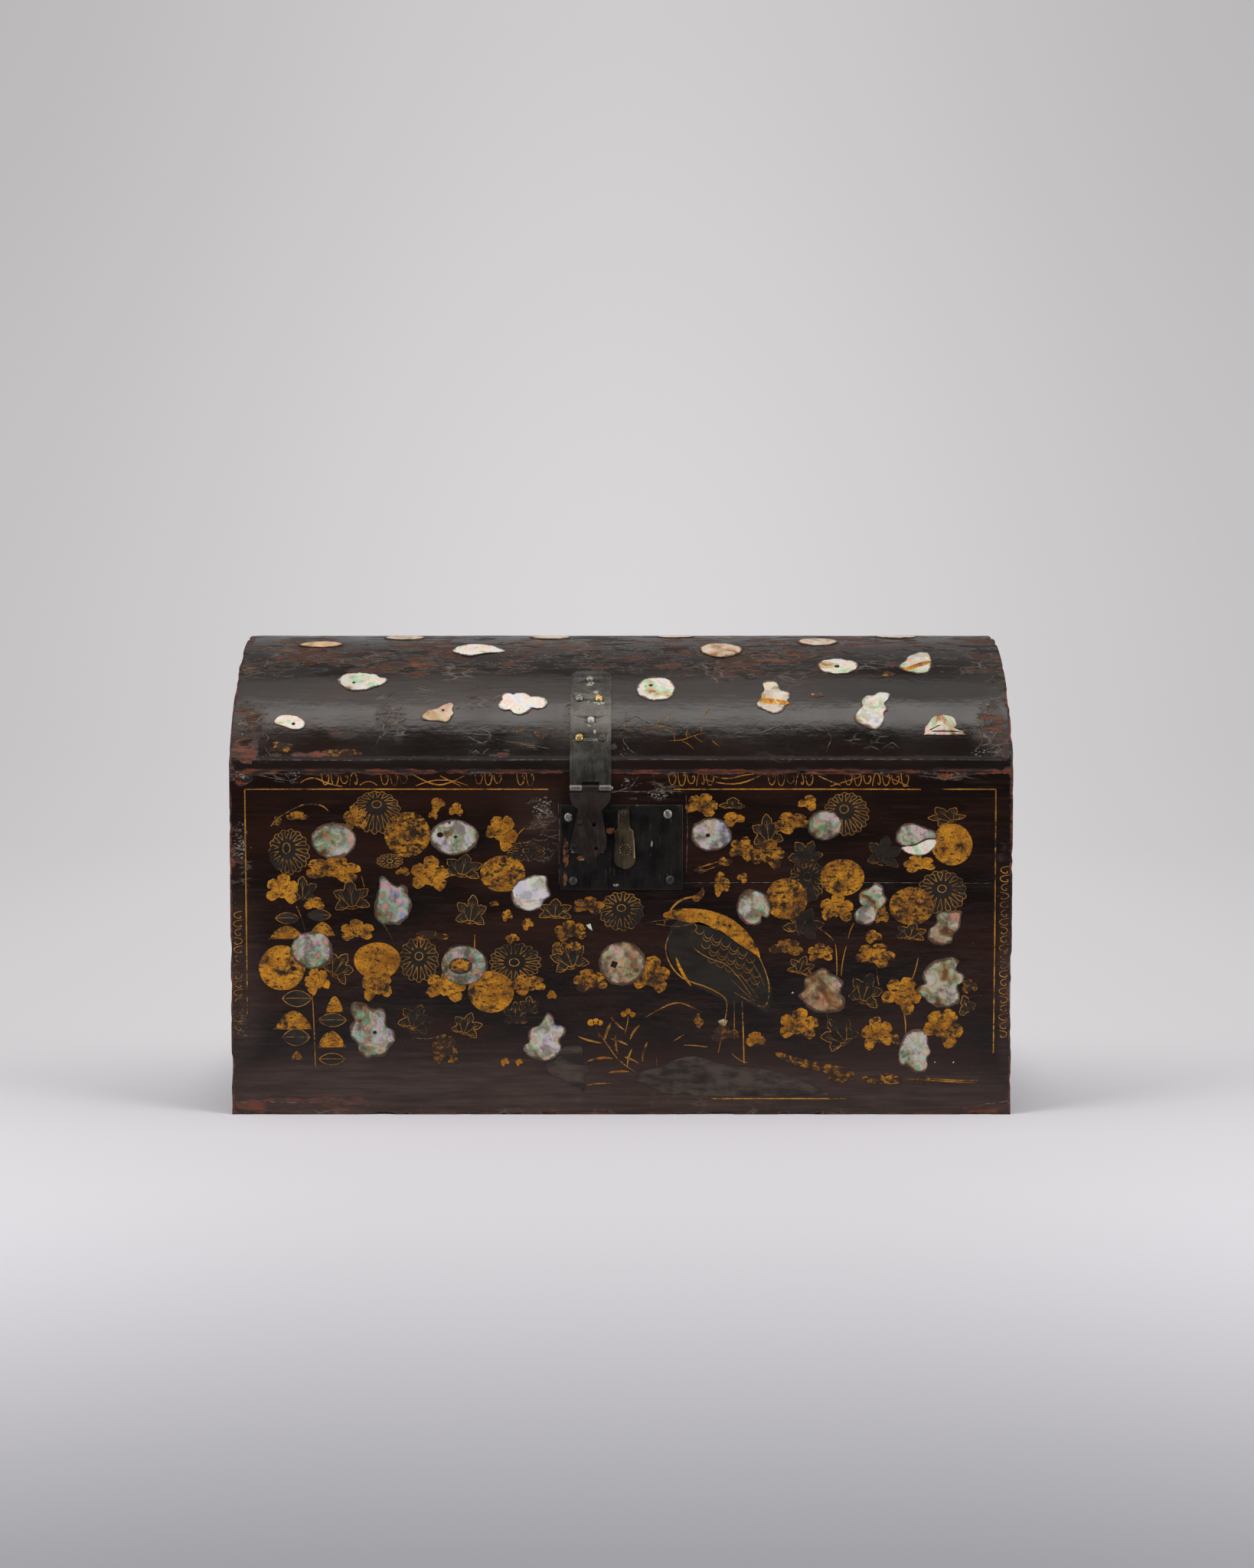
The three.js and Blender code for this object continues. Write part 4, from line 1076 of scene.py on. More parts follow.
cover = refine("keyhole_cover", 0.3)
cover_face_y = min(v.co.y for v in cover.data.vertices)
bpy.ops.object.mode_set(mode="EDIT")


def on_face(face):
    """True for the cover's flat front face."""
    return face.normal.y < -0.98 and face.calc_center_median().y < cover_face_y + 0.05 * MM


for axis, first, count in ((0, -4.5, 10), (2, 143.5, 18)):
    for k in range(count):
        choose(cover, "faces", on_face)
        cut_at = [0, 0, 0]
        cut_at[axis] = (first + k * cut_gap) * MM
        cut_way = [0, 0, 0]
        cut_way[axis] = 1
        bpy.ops.mesh.bisect(plane_co=cut_at, plane_no=cut_way)
for vertex in bmesh.from_edit_mesh(cover.data).verts:
    if vertex.co.y < cover_face_y + 0.02 * MM:
        vertex.co.y -= crown_at(vertex.co.x / MM, vertex.co.z / MM) * MM
bmesh.update_edit_mesh(cover.data)
for k in range(dot_count):
    turn = 2 * math.pi * k / dot_count
    dot_x = dot_ring_x + dot_ring_radius * math.cos(turn)
    dot_z = dot_ring_z + dot_ring_radius * math.sin(turn)
    bpy.ops.mesh.select_all(action="DESELECT")
    bpy.ops.mesh.primitive_uv_sphere_add(
        segments=10, ring_count=6, radius=dot_radius * MM,
        location=(dot_x * MM, cover_face_y - crown_at(dot_x, dot_z) * MM, dot_z * MM),
    )
bpy.ops.object.mode_set(mode="OBJECT")
# Painted highlight: the faces that look to the right, below the neck, take the brighter screw brass, as the
# cover's right flank catches the light.
for polygon in cover.data.polygons:
    polygon.material_index = 1 if polygon.normal.x > 0.25 and polygon.center.z < painted_highlight_below else 0
smooth(cover, 45)
hand_over_fitting(cover, "keyhole_cover", brass, screw_brass, "brass")

# %% [markdown]
# The ornament is drawn flat first, like a paper pattern: x across and z (or the arc s) up, in millimetres.
# Filled shapes start as a small fan of triangles whose points are pulled onto the outline. Lines start as
# curves with a brush's taper. The whole pattern is then laid on the front or wrapped over the vault.

# %% Patterns: ovals and leaves
lobe_fan = 290


def on_oval(x, z, radius_x, radius_z, turn, share=1.0):
    """The point of an oval at an angle. share brings it nearer to the middle."""
    return (x + radius_x * share * math.cos(turn), z + radius_z * share * math.sin(turn))


def oval(x, z, radius_x, radius_z, points=40, uneven=0.035):
    """An ellipse cut by hand."""
    outline = []
    for k in range(points):
        turn = 2 * math.pi * k / points
        here = Vector((math.cos(turn) * 1.4, math.sin(turn) * 1.4, x * 0.37 + z * 0.11))
        outline.append(on_oval(x, z, radius_x, radius_z, turn, 1 + uneven * 2 * noise.noise(here)))
    return outline


def lobe_ways(lobes, foot):
    """The angle between two lobes of a leaf, and the way of the first one."""
    gap = math.radians(lobe_fan / lobes)
    return gap, math.radians(foot + 180) - gap * (lobes - 1) / 2


def leaf(x, z, radius_x, radius_z, lobes=5, notch=0.5, foot=-90.0, points=84, blunt=1.9, teeth=0.075):
    """A lobed leaf. foot is the way its stalk points, in degrees, and blunt is how round its lobes are."""
    gap, first = lobe_ways(lobes, foot)
    outline = []
    for k in range(points):
        turn = 2 * math.pi * k / points
        swell = 0.34
        for j in range(lobes):
            off = abs((turn - first - j * gap + math.pi) % (2 * math.pi) - math.pi) / (gap * 0.5)
            outer = abs(j - (lobes - 1) / 2) / max(1.0, (lobes - 1) / 2)
            length = 1.04 - 0.16 * outer
            tooth = teeth * math.cos(off * 8.5) if off < 1.05 else 0.0
            swell = max(swell, length * (1 - notch * off ** blunt) + tooth)
        here = Vector((math.cos(turn) * 2, math.sin(turn) * 2, x * 0.13 + z * 0.29))
        outline.append(on_oval(x, z, radius_x, radius_z, turn, swell + 0.10 * noise.noise(here)))
    return outline


# %% Patterns: other outlines
def half_leaf(x, z, half_width, height, points=20):
    """A half-open leaf: flat below, round above, with pointed ends."""
    upper = []
    for k in range(points + 1):
        share = 1 - 2 * k / points
        upper.append((x + half_width * share, z + height * (1 - abs(share) ** 1.7) ** 0.8))
    sides = [(x + side * half_width * 0.5, z - height * 0.08) for side in (-1, 1)]
    return upper + [sides[0], (x, z - height * 0.1), sides[1]]


def lens(x, z, half_width, half_height, points=12):
    """A slim leaf lying on its side, pointed at both ends."""
    upper = []
    for k in range(points):
        swell = math.sin(math.pi * k / points) ** 0.8
        upper.append((x + half_width * (1 - 2 * k / points), z + half_height * swell))
    lower = [(2 * x - across, 2 * z - up) for across, up in upper]
    return upper + lower


def rounded(corners, times=2):
    """A smooth closed line: each corner is cut off at about a fifth of its two sides, again and again."""
    line = list(corners)
    for _ in range(times):
        ahead = line[1:] + line[:1]
        cut = []
        for here, there in zip(line, ahead):
            for share in (0.78, 0.22):
                cut.append(tuple(a * share + b * (1 - share) for a, b in zip(here, there)))
        line = cut
    return line


def grown(outline, margin, uneven=0.6):
    """The outline moved outwards by about margin millimetres, unevenly."""
    middle = Vector((sum(p[0] for p in outline), sum(p[1] for p in outline))) / len(outline)
    wider = []
    for x, z in outline:
        away = Vector((x, z)) - middle
        ripple = 1 + uneven * 2 * noise.noise(Vector((x * 0.45, z * 0.45, 5)))
        wider.append(tuple(Vector((x, z)) + away.normalized() * margin * ripple))
    return wider


# %% Patterns: filled shapes
layer_step = 0.002


def start_sheet(name):
    """An empty mesh, in edit mode, with four numbers per vertex for its materials."""
    clear_selection()
    bpy.ops.mesh.primitive_circle_add(vertices=3, radius=MM)
    sheet = name_it(name)
    bpy.ops.object.mode_set(mode="EDIT")
    bpy.ops.mesh.select_all(action="SELECT")
    bpy.ops.mesh.delete(type="VERT")
    layers = bmesh.from_edit_mesh(sheet.data).verts.layers.float
    for kind in ("tone", "tint", "lean", "inside"):
        layers.new(kind)
    return sheet


def cut_patch(sheet, outline, rise, tone=0.0, tint=0.0, cuts=0, waves=0.0, lean=0.0):
    """Adds one filled shape. rise is how far its face stands off the lacquer, and waves makes it uneven."""
    ahead = outline[1:] + outline[:1]
    if sum(a[0] * b[1] - b[0] * a[1] for a, b in zip(outline, ahead)) < 0:
        outline = outline[::-1]
    bpy.ops.mesh.select_all(action="DESELECT")
    bpy.ops.mesh.primitive_circle_add(
        vertices=len(outline), radius=MM, fill_type="TRIFAN", rotation=(math.pi / 2, 0, 0)
    )
    mesh = bmesh.from_edit_mesh(sheet.data)
    fresh = [v for v in mesh.verts if v.select]
    hub = max(fresh, key=lambda v: len(v.link_edges))
    ring = sorted((v for v in fresh if v is not hub), key=lambda v: math.atan2(v.co.z, v.co.x))
    middle = [sum(p[i] for p in outline) / len(outline) for i in (0, 1)]
    ways = [math.atan2(p[1] - middle[1], p[0] - middle[0]) for p in outline]
    first = ways.index(min(ways))
    for k, vertex in enumerate(ring):
        x, z = outline[(first + k) % len(outline)]
        vertex.co = (x * MM, -rise * MM, z * MM)
    hub.co = (middle[0] * MM, -rise * MM, middle[1] * MM)
    hub[mesh.verts.layers.float["inside"]] = 1.0
    bmesh.update_edit_mesh(sheet.data)
    if cuts:
        bpy.ops.mesh.subdivide(number_cuts=cuts)
        mesh = bmesh.from_edit_mesh(sheet.data)
    for vertex in mesh.verts:
        if vertex.select:
            for name, value in (("tone", tone), ("tint", tint), ("lean", lean)):
                vertex[mesh.verts.layers.float[name]] = value
            lump = noise.noise(vertex.co * 180) + 0.6 * noise.noise(vertex.co * 420)
            vertex.co.y -= lump * waves * MM
    bmesh.update_edit_mesh(sheet.data)


def cut_in_layers(sheet, shapes):
    """Cuts (outline, rise, tone) shapes, each a hair higher than the last, so that no two are level."""
    for layer, (outline, rise, tone) in enumerate(shapes):
        cut_patch(sheet, outline, rise + layer * layer_step, tone)


def close_sheet(sheet, thickness, bevel=0.0):
    """Gives the shapes a thickness behind their faces, and softens their rims."""
    bpy.ops.object.mode_set(mode="OBJECT")
    apply_modifier(sheet, "SOLIDIFY", thickness=thickness * MM, offset=-1)
    if bevel:
        apply_modifier(
            sheet, "BEVEL", width=bevel * MM, segments=2, limit_method="ANGLE", angle_limit=math.radians(60)
        )


def lay_on_front(piece):
    """Moves a flat pattern onto the front."""
    for vertex in piece.data.vertices:
        vertex.co.y -= depth / 2


def wrap_on_vault(piece):
    """Wraps a flat pattern over the vault: its z becomes arc length, and its rise points outwards."""
    for vertex in piece.data.vertices:
        turned = spring_angle + vertex.co.z / vault_radius
        reach_out = vault_radius - vertex.co.y
        vertex.co.y = -reach_out * math.cos(turned)
        vertex.co.z = vault_centre_z + reach_out * math.sin(turned)


def lay(piece, material, slot, body, smooth_degrees=None):
    """Lays a flat pattern on the coffer's front or over the lid, and hands it over."""
    if body == "coffer":
        lay_on_front(piece)
    else:
        wrap_on_vault(piece)
    if smooth_degrees:
        smooth(piece, smooth_degrees)
    hand_over(piece, [material], slot, body)


# %% Patterns: brush lines
def draw_lines(name, lines, rise=0.1, flatness=0.4):
    """Turns (points, width, taper) or (points, width, "ring") lines into one flat-lying mesh."""
    data = bpy.data.curves.new(name, "CURVE")
    data.dimensions = "3D"
    data.fill_mode = "FULL"
    data.bevel_depth = MM
    data.bevel_resolution = 0
    data.resolution_u = 3
    data.use_fill_caps = True
    for points, thick, taper in lines:
        spline = data.splines.new("NURBS")
        spline.points.add(len(points) - 1)
        last = len(points) - 1
        for k, (x, z) in enumerate(points):
            thin = 1.0 if taper == "ring" else taper + (1 - taper) * math.sin(math.pi * k / last)
            spline.points[k].co = (x * MM, 0, z * MM, 1)
            spline.points[k].radius = thick / 2 * thin
        spline.order_u = min(3, len(points))
        spline.use_cyclic_u = taper == "ring"
        spline.use_endpoint_u = taper != "ring"
    piece = bpy.data.objects.new(name, data)
    bpy.context.scene.collection.objects.link(piece)
    pick_up(piece)
    bpy.ops.object.convert(target="MESH")
    piece = bpy.context.object
    for vertex in piece.data.vertices:
        vertex.co.y = vertex.co.y * flatness - rise * MM
    return piece


# %% [markdown]
# The plates are cut from shell about half a millimetre thick, laid on a brown bed that shows as a thin rim.
# The front's are abalone, green and pink and dulled by age, and the lid's are paler pearl. Nacre's colours
# lie in wavy bands, so a distorted wave drives a colour ramp, and a painted tone moves each plate from
# abalone to pearl.

# %% Material: shell
abalone_tones = (
    (0.42, colour(0.034, 0.014, 0.008)), (0.50, colour(0.170, 0.085, 0.034)),
    (0.56, colour(0.050, 0.170, 0.100)), (0.62, colour(0.270, 0.260, 0.150)),
    (0.67, colour(0.330, 0.130, 0.100)), (0.72, colour(0.170, 0.130, 0.062)),
    (0.78, colour(0.080, 0.260, 0.210)), (0.84, colour(0.320, 0.290, 0.200)),
    (0.90, colour(0.430, 0.200, 0.260)), (0.97, colour(0.140, 0.200, 0.300)),
)
pearl_tones = (
    (0.42, colour(0.30, 0.14, 0.05)), (0.50, colour(0.58, 0.43, 0.25)), (0.57, colour(0.36, 0.60, 0.40)),
    (0.64, colour(0.72, 0.72, 0.60)), (0.71, colour(0.78, 0.50, 0.48)), (0.78, colour(0.70, 0.68, 0.55)),
    (0.85, colour(0.66, 0.70, 0.66)), (0.95, colour(0.64, 0.60, 0.66)),
)
shell, tree, shader, place = start_material("shell_inlay")
tone = attribute(tree, "tone")
tint = attribute(tree, "tint")
inside = attribute(tree, "inside")
drift = cloud(tree, place, 56.0, 2.0, 0.5, 1.6)
waves = {"Vector": place, "Scale": 24.0, "Distortion": 9.0}
waves |= {"Detail": 3.0, "Detail Scale": 1.4, "Detail Roughness": 0.6}
bands = add(tree, "ShaderNodeTexWave", waves, bands_direction="DIAGONAL").outputs["Fac"]
striae = cloud(tree, stretched(tree, place, (1, 1, 0.12)), 950.0, 3.0, 0.6)
play = plus_share(tree, maths(tree, "MULTIPLY", bands, 0.26), drift, 0.98)
play = plus_share(tree, play, striae, 0.14)
play = maths(tree, "ADD", play, attribute(tree, "lean"))
base = blend_colours(tree, tone, ramp(tree, play, abalone_tones), ramp(tree, play, pearl_tones))
amber_share = remap(tree, drift, 0.35, 0.65)
amber = blend_colours(tree, amber_share, colour(0.36, 0.13, 0.04), colour(0.66, 0.42, 0.20))
base = blend_colours(tree, tint, base, amber)
# Painted highlights: small white glints are painted into the shell's colour.
painted_glint_amount = remap(tree, tone, 0.0, 1.0, 0.30, 0.24)
painted_glint = ragged(tree, stretched(tree, place, (0.6, 1, 1)), 260.0, painted_glint_amount, 0.05)
base = tinted(tree, base, painted_glint, 0.75, colour(0.72, 0.70, 0.64))
shade = remap(tree, cloud(tree, place, 130.0, 4.0, 0.6), 0.36, 0.54, 0.32, 1.0)
shade = maths(tree, "MAXIMUM", shade, tone, clamp=True)
base = blend_colours(tree, shade, colour(0.040, 0.026, 0.016), base)
stain_amount = remap(tree, inside, 0.0, 0.18, 0.66, 0.385)
stain_amount = plus_share(tree, stain_amount, tone, -0.10)
stain = ragged(tree, place, 190.0, stain_amount, 0.10)
base = tinted(tree, base, stain, 0.86, colour(0.050, 0.019, 0.009))
fissure = ragged(tree, stretched(tree, place, (1.0, 1.0, 0.25)), 700.0, 0.32, 0.04)
base = tinted(tree, base, fissure, 0.6, colour(0.06, 0.03, 0.018))
rough = plus_share(tree, remap(tree, play, 0.5, 0.8, 0.26, 0.42), stain, 0.25, clamp=True)
height = maths(tree, "MULTIPLY", bands, 0.25)
for swell, share in ((drift, 0.8), (striae, 0.35), (fissure, -0.4)):
    height = plus_share(tree, height, swell, share)
wire(tree, shader, base, rough, height, 0.0004, 0.7, gloss=0.24)
print("shell nodes:", len(tree.nodes))

# %% Material: the shell's brown bed
bed_tones = (
    (0.40, colour(0.008, 0.004, 0.003)), (0.52, colour(0.036, 0.012, 0.006)),
    (0.66, colour(0.15, 0.048, 0.016)),
)
bed, tree, shader, place = start_material("shell_bed")
mottle = cloud(tree, place, 260.0, 5.0, 0.62)
base = ramp(tree, mottle, bed_tones)
wire(tree, shader, base, remap(tree, mottle, 0.3, 0.7, 0.35, 0.6), mottle, 0.0003, 0.8)

# %% Shell plates: outlines, front
# Each plate is (outline, tone, tint). Tone 0 is dark abalone and 1 is white pearl. Tint turns it amber.
front_plates = [
    (oval(-165.4, 159, 12.6, 10), 0.25, 0), (oval(-96, 160.7, 13.8, 9.7), 0.35, 0),
    (oval(-178, 95.5, 12, 10.5), 0.15, 0), (oval(51.8, 162.3, 11.3, 9.3), 0.3, 0),
    (oval(0.7, 87.9, 13.6, 12.2), 0.05, 0.3), (oval(116.8, 167.6, 9.8, 8.3), 0.15, 0),
    (rounded([(69, 128), (73, 130.4), (78, 130), (83, 127.6), (85.6, 123), (86, 118), (84.2, 114),
        (80.6, 115.6), (80.4, 111.6), (77, 110), (72, 111), (68, 114.4), (66.6, 119), (67.2, 124)]),
        0.3, 0),
    (rounded([(-137.1, 139), (-131.6, 133.4), (-128.2, 131.8), (-126.6, 133.4), (-123.8, 132.3),
        (-123.2, 127.9), (-120.4, 123.4), (-121, 119), (-123.8, 114), (-128.2, 110.4), (-133.8, 110.3),
        (-138.2, 111.2), (-141.6, 114.6), (-142.1, 121.2), (-140.4, 126.8), (-138.8, 132.3),
        (-139.3, 136.8)]), 0.1, 0),
    (rounded([(-155.8, 65.4), (-148.2, 64.9), (-144.3, 61), (-137.1, 62.1), (-135.4, 56.6), (-136, 51),
        (-131, 49.3), (-130.2, 43.2), (-134.3, 38.8), (-136.2, 33.4), (-141.6, 34.3), (-147.1, 32.7),
        (-151.6, 36.6), (-151.8, 41), (-156, 45.4), (-156.2, 52.1), (-153.2, 54.9), (-155.8, 58.8)]),
        0.2, 0),
    (rounded([(-55.4, 136.8), (-50, 139), (-42.7, 138.4), (-42.7, 132.3), (-40.2, 127.3), (-43.8, 125.1),
        (-46.6, 120.1), (-53.2, 117.9), (-61, 120.7), (-63.6, 127.9), (-60.4, 134.6)]), 0.7, 0),
    (rounded([(-41.6, 59.3), (-38.8, 56.6), (-38.8, 52.1), (-33.2, 51.6), (-31.9, 47.7), (-34.9, 44.9),
        (-36, 42.5), (-34.9, 40.4), (-34.9, 36.6), (-38.8, 32.7), (-44.9, 31.2), (-51, 32.7), (-56.2, 36.6),
        (-56.6, 40.1), (-52.7, 42.1), (-53.8, 46.6), (-52.1, 50.4), (-47.1, 51.6), (-44.9, 55.4),
        (-43.2, 58.8)]), 0.4, 0),
    (rounded([(137.9, 129.6), (142.9, 131.2), (146.2, 134.6), (150.7, 132.3), (150.7, 127.9),
        (153.1, 125.1), (150.7, 121.2), (147.3, 117.9), (145.1, 111.2), (140.7, 110.1), (135.1, 111.8),
        (133.8, 116.2), (136.2, 119.6), (140.1, 121.2), (137.3, 122.3), (136.8, 126.8)]), 0.35, 0),
    (rounded([(157.9, 162.3), (161.8, 168.4), (168.4, 168.4), (174.6, 165.7), (180.1, 164.6),
        (182.3, 160.1), (175.1, 160.1), (168.4, 155.7), (161.8, 155.7), (157.9, 157.9)]), 0.25, 0),
    (rounded([(160.1, 155.1), (168.4, 155.5), (175.7, 159.6), (181.8, 159.6), (180.7, 155.1),
        (175.1, 150.7), (169.6, 149.9), (162.9, 152.3)]), 0.95, 0),
    (rounded([(180.7, 116.2), (185.1, 117.9), (190.7, 117.9), (196.2, 118.4), (195.1, 113.4),
        (194.6, 107.9), (190.7, 104.6), (190.7, 100.1), (185.1, 98.4), (179.6, 99.6), (176.2, 102.3),
        (177.3, 107.9), (182.3, 111.2)]), 0.1, 0.15),
    (rounded([(111.8, 82.7), (115.1, 84.9), (118.4, 84.5), (120.1, 81.6), (126.2, 79.3), (127.9, 76.6),
        (125.7, 71), (129, 67.7), (128.4, 62.1), (122.9, 59.7), (115.1, 59.3), (108.4, 61.6), (104.6, 66.6),
        (101.4, 69.3), (106.2, 72.7), (105.1, 77.1), (107.3, 81)]), 0.0, 0.35),
    (rounded([(174.6, 84.3), (179.6, 88.8), (186.2, 91), (191.8, 91.2), (195.1, 88.8), (191.8, 84.3),
        (197.9, 81), (197.3, 77.1), (192.9, 74.9), (195.1, 69.9), (194.6, 65.4), (189.6, 62.7),
        (182.9, 62.7), (177.3, 65.4), (174, 68.8), (170.1, 71.6), (170.7, 74.3), (175.7, 76),
        (173.4, 79.9)]), 0.3, 0.1),
    (rounded([(164, 47.1), (168.4, 49.3), (174, 49.3), (176.8, 45.4), (176.8, 39.9), (179, 36.6),
        (175.7, 32.1), (177.3, 28.8), (175.1, 24.9), (169.6, 24.9), (166.2, 27.7), (160.7, 28.8),
        (160.1, 34.3), (161.2, 41)]), 0.35, 0),
]
front_leans = (
    0.04, -0.02, 0.04, 0.06, -0.04, 0.03, 0.0, -0.02, 0.0, 0.15, 0.04, 0.02, 0.09, 0.0, -0.08, -0.05, -0.01,
    0.04,
)
shell_chips = [
    [(-20.2, 110), (-17.6, 111), (-16.4, 106.6), (-18.6, 108)],
    [(55.6, 54.4), (59, 55.8), (61.6, 54.6), (60, 51.6), (57, 52.2)],
    [(191, 30), (192.4, 30.2), (192, 31.2)], [(180.6, 30), (181.8, 30.4), (181, 31.2)],
    [(98.2, 70.4), (99.6, 70.6), (98.8, 71.6)],
]
ring_plate = (-90.7, 86.8, 13, 11.3)
ring_opening = (-92.6, 86.4, 6.6, 4.6)

# %% Shell plates: outlines, lid
lid_plates = [
    (rounded([(-193.8, 103), (-188, 108.5), (-179, 110), (-170, 108), (-166, 104), (-170, 100),
        (-179, 98.5), (-189, 99.5)]), 0.8, 0.85),
    (rounded([(-166, 60), (-162.1, 64.4), (-154.9, 66.1), (-149.3, 65), (-143.8, 64.4), (-141.6, 61.1),
        (-136.6, 60), (-137.7, 56.1), (-141.6, 53.9), (-148.2, 50.6), (-154.9, 49.4), (-159.9, 50.6),
        (-161.6, 53.3), (-165.4, 56.1)]), 0.85, 0),
    (rounded([(-201, 24.4), (-198.8, 29.4), (-193.8, 30.8), (-187.1, 29.4), (-181.6, 25.6), (-183.2, 21.1),
        (-189.3, 20), (-193.8, 22.2), (-197.1, 23.3)]), 1.0, 0.1),
    (rounded([(-116.6, 29.4), (-112.1, 33.9), (-106.6, 34.8), (-102.7, 38.3), (-98.8, 40), (-97.1, 38.3),
        (-97.7, 33.9), (-96.9, 31.7), (-100.4, 24.8), (-106, 26.7), (-113.8, 26.7)]), 0.9, 0.6),
    (rounded([(-101.3, 92.2), (-97.1, 100.6), (-90.4, 103.9), (-81.6, 103.3), (-74, 98.9), (-71.6, 95.6),
        (-68.2, 91.1), (-81.6, 89.4), (-89.3, 85), (-97.1, 88.3)]), 1.0, 0.05),
    (oval(20.3, 51.4, 11.3, 9.8), 0.9, 0), (oval(59.3, 95, 12, 11), 0.9, 0.55),
    (oval(127.7, 73.1, 11.7, 8.4), 0.95, 0.1),
    (rounded([(82.3, 56.1), (85.1, 58.3), (90.1, 57.8), (92.3, 52.8), (92.9, 49.4), (97.9, 48.3),
        (97.9, 44.4), (96.2, 39.4), (94, 33.9), (89.6, 31.7), (85.1, 32.8), (83.4, 34.4), (79, 36.1),
        (78.7, 39.4), (81.2, 42.8), (80.7, 46.1), (84, 49.4)]), 0.8, 0.2),
    (rounded([(178.4, 90.6), (182.3, 89.4), (182.9, 85), (183.4, 78.3), (182.3, 71.7), (180.1, 66.1),
        (174, 64.8), (170.1, 66.7), (165.1, 68.9), (162.9, 72.2), (167.9, 78.3), (169.6, 83.9),
        (172.9, 86.7)]), 0.8, 0.15),
    (rounded([(149.6, 48.6), (156.8, 47.2), (155.7, 42.8), (152.3, 39.4), (154.6, 35), (151.8, 32.2),
        (152.3, 27.2), (149.6, 21.7), (145.1, 20.3), (140.7, 22.8), (136.2, 25), (134.6, 28.9),
        (136.2, 32.8), (139.6, 36.1), (139.6, 41.7), (142.9, 45.6), (146.8, 45)]), 0.75, 0),
    (rounded([(174.6, 18), (175.7, 23.3), (180.1, 29.4), (186.2, 30.8), (191.2, 29.4), (194, 26.7),
        (193.4, 21)]) + [(195, 18.6), (199.3, 16.7), (174.4, 16.7)], 0.85, 0.15),
    (oval(-131, 122, 12, 7), 0.9, 0.4), (oval(-43, 123.5, 12, 6), 0.9, 0.3),
    (oval(118, 110, 12, 8), 0.9, 0.35), (oval(33, 127, 11, 5), 0.9, 0.3), (oval(166, 127, 12, 6), 0.9, 0.3),
]
cloud_plate = rounded([
    (-70, 45.5), (-67.5, 47.9), (-64.2, 46.8), (-63, 45.6), (-61, 47.2), (-57.2, 48), (-53.6, 46),
    (-52.6, 44.2), (-48.4, 45.2), (-44.2, 43), (-42.6, 39.6), (-44.4, 36.2), (-48.6, 35), (-52.2, 36.2),
    (-53.2, 33.2), (-57.6, 30.8), (-62.4, 31.8), (-64, 34.6), (-68.2, 33.8), (-71.4, 36.6), (-71, 40.4),
    (-69, 42),
])

# %% Shell plates: cut and lay
plate_rise = 0.55
bed_rise = 0.16
lid_plate_rise = 0.42
ring_steps = 28

front_shell = start_sheet("front_shell_plates")
for (outline, tone, tint), lean in zip(front_plates, front_leans):
    cut_patch(front_shell, outline, plate_rise, tone, tint, cuts=4, waves=0.24, lean=lean)
for outline in shell_chips:
    cut_patch(front_shell, outline, 0.2, 0.6)
for k in range(ring_steps):
    turn, next_turn = [2 * math.pi * (k + j) / ring_steps for j in (0, 1)]
    quad = [on_oval(*ring_plate, turn), on_oval(*ring_plate, next_turn)]
    quad += [on_oval(*ring_opening, next_turn), on_oval(*ring_opening, turn)]
    cut_patch(front_shell, quad, plate_rise, 0.1, cuts=1, waves=0.18)
bpy.ops.mesh.select_all(action="SELECT")
bpy.ops.mesh.remove_doubles(threshold=0.02 * MM)
close_sheet(front_shell, plate_rise + 0.15, 0.14)
lay(front_shell, shell, "shell_inlay", "coffer", 50)

lid_shell = start_sheet("lid_shell_plates")
for outline, tone, tint in lid_plates:
    cut_patch(lid_shell, outline, lid_plate_rise, tone, tint, cuts=3, waves=0.1)
cut_patch(lid_shell, cloud_plate, lid_plate_rise, 1.0, 0, cuts=3, waves=0.12, lean=0.14)
close_sheet(lid_shell, lid_plate_rise + 0.2, 0.12)
lay(lid_shell, shell, "shell_inlay", "lid", 50)

# %% Shell plates: their beds
for name, outlines, margin, body_name, cuts, waves in (
    ("front_shell_beds", [p[0] for p in front_plates] + [oval(*ring_plate)], 0.5, "coffer", 1, 0.1),
    ("lid_shell_beds", [p[0] for p in lid_plates] + [cloud_plate], 0.4, "lid", 3, 0.0),
):
    beds = start_sheet(name)
    for outline in outlines:
        cut_patch(beds, grown(outline, margin), bed_rise, cuts=cuts, waves=waves)
    close_sheet(beds, bed_rise + 0.15)
    lay(beds, bed, "black_lacquer", body_name)

# %% [markdown]
# Gold is powder sprinkled on wet lacquer, so it is grainy and a little dull, and it has rubbed off in
# patches down to the brown lacquer under it. The dark leaves and rocks are raised lacquer, blacker or
# greyer than the ground. Both materials read the painted tone: how worn the gold is, and how grey the
# relief.

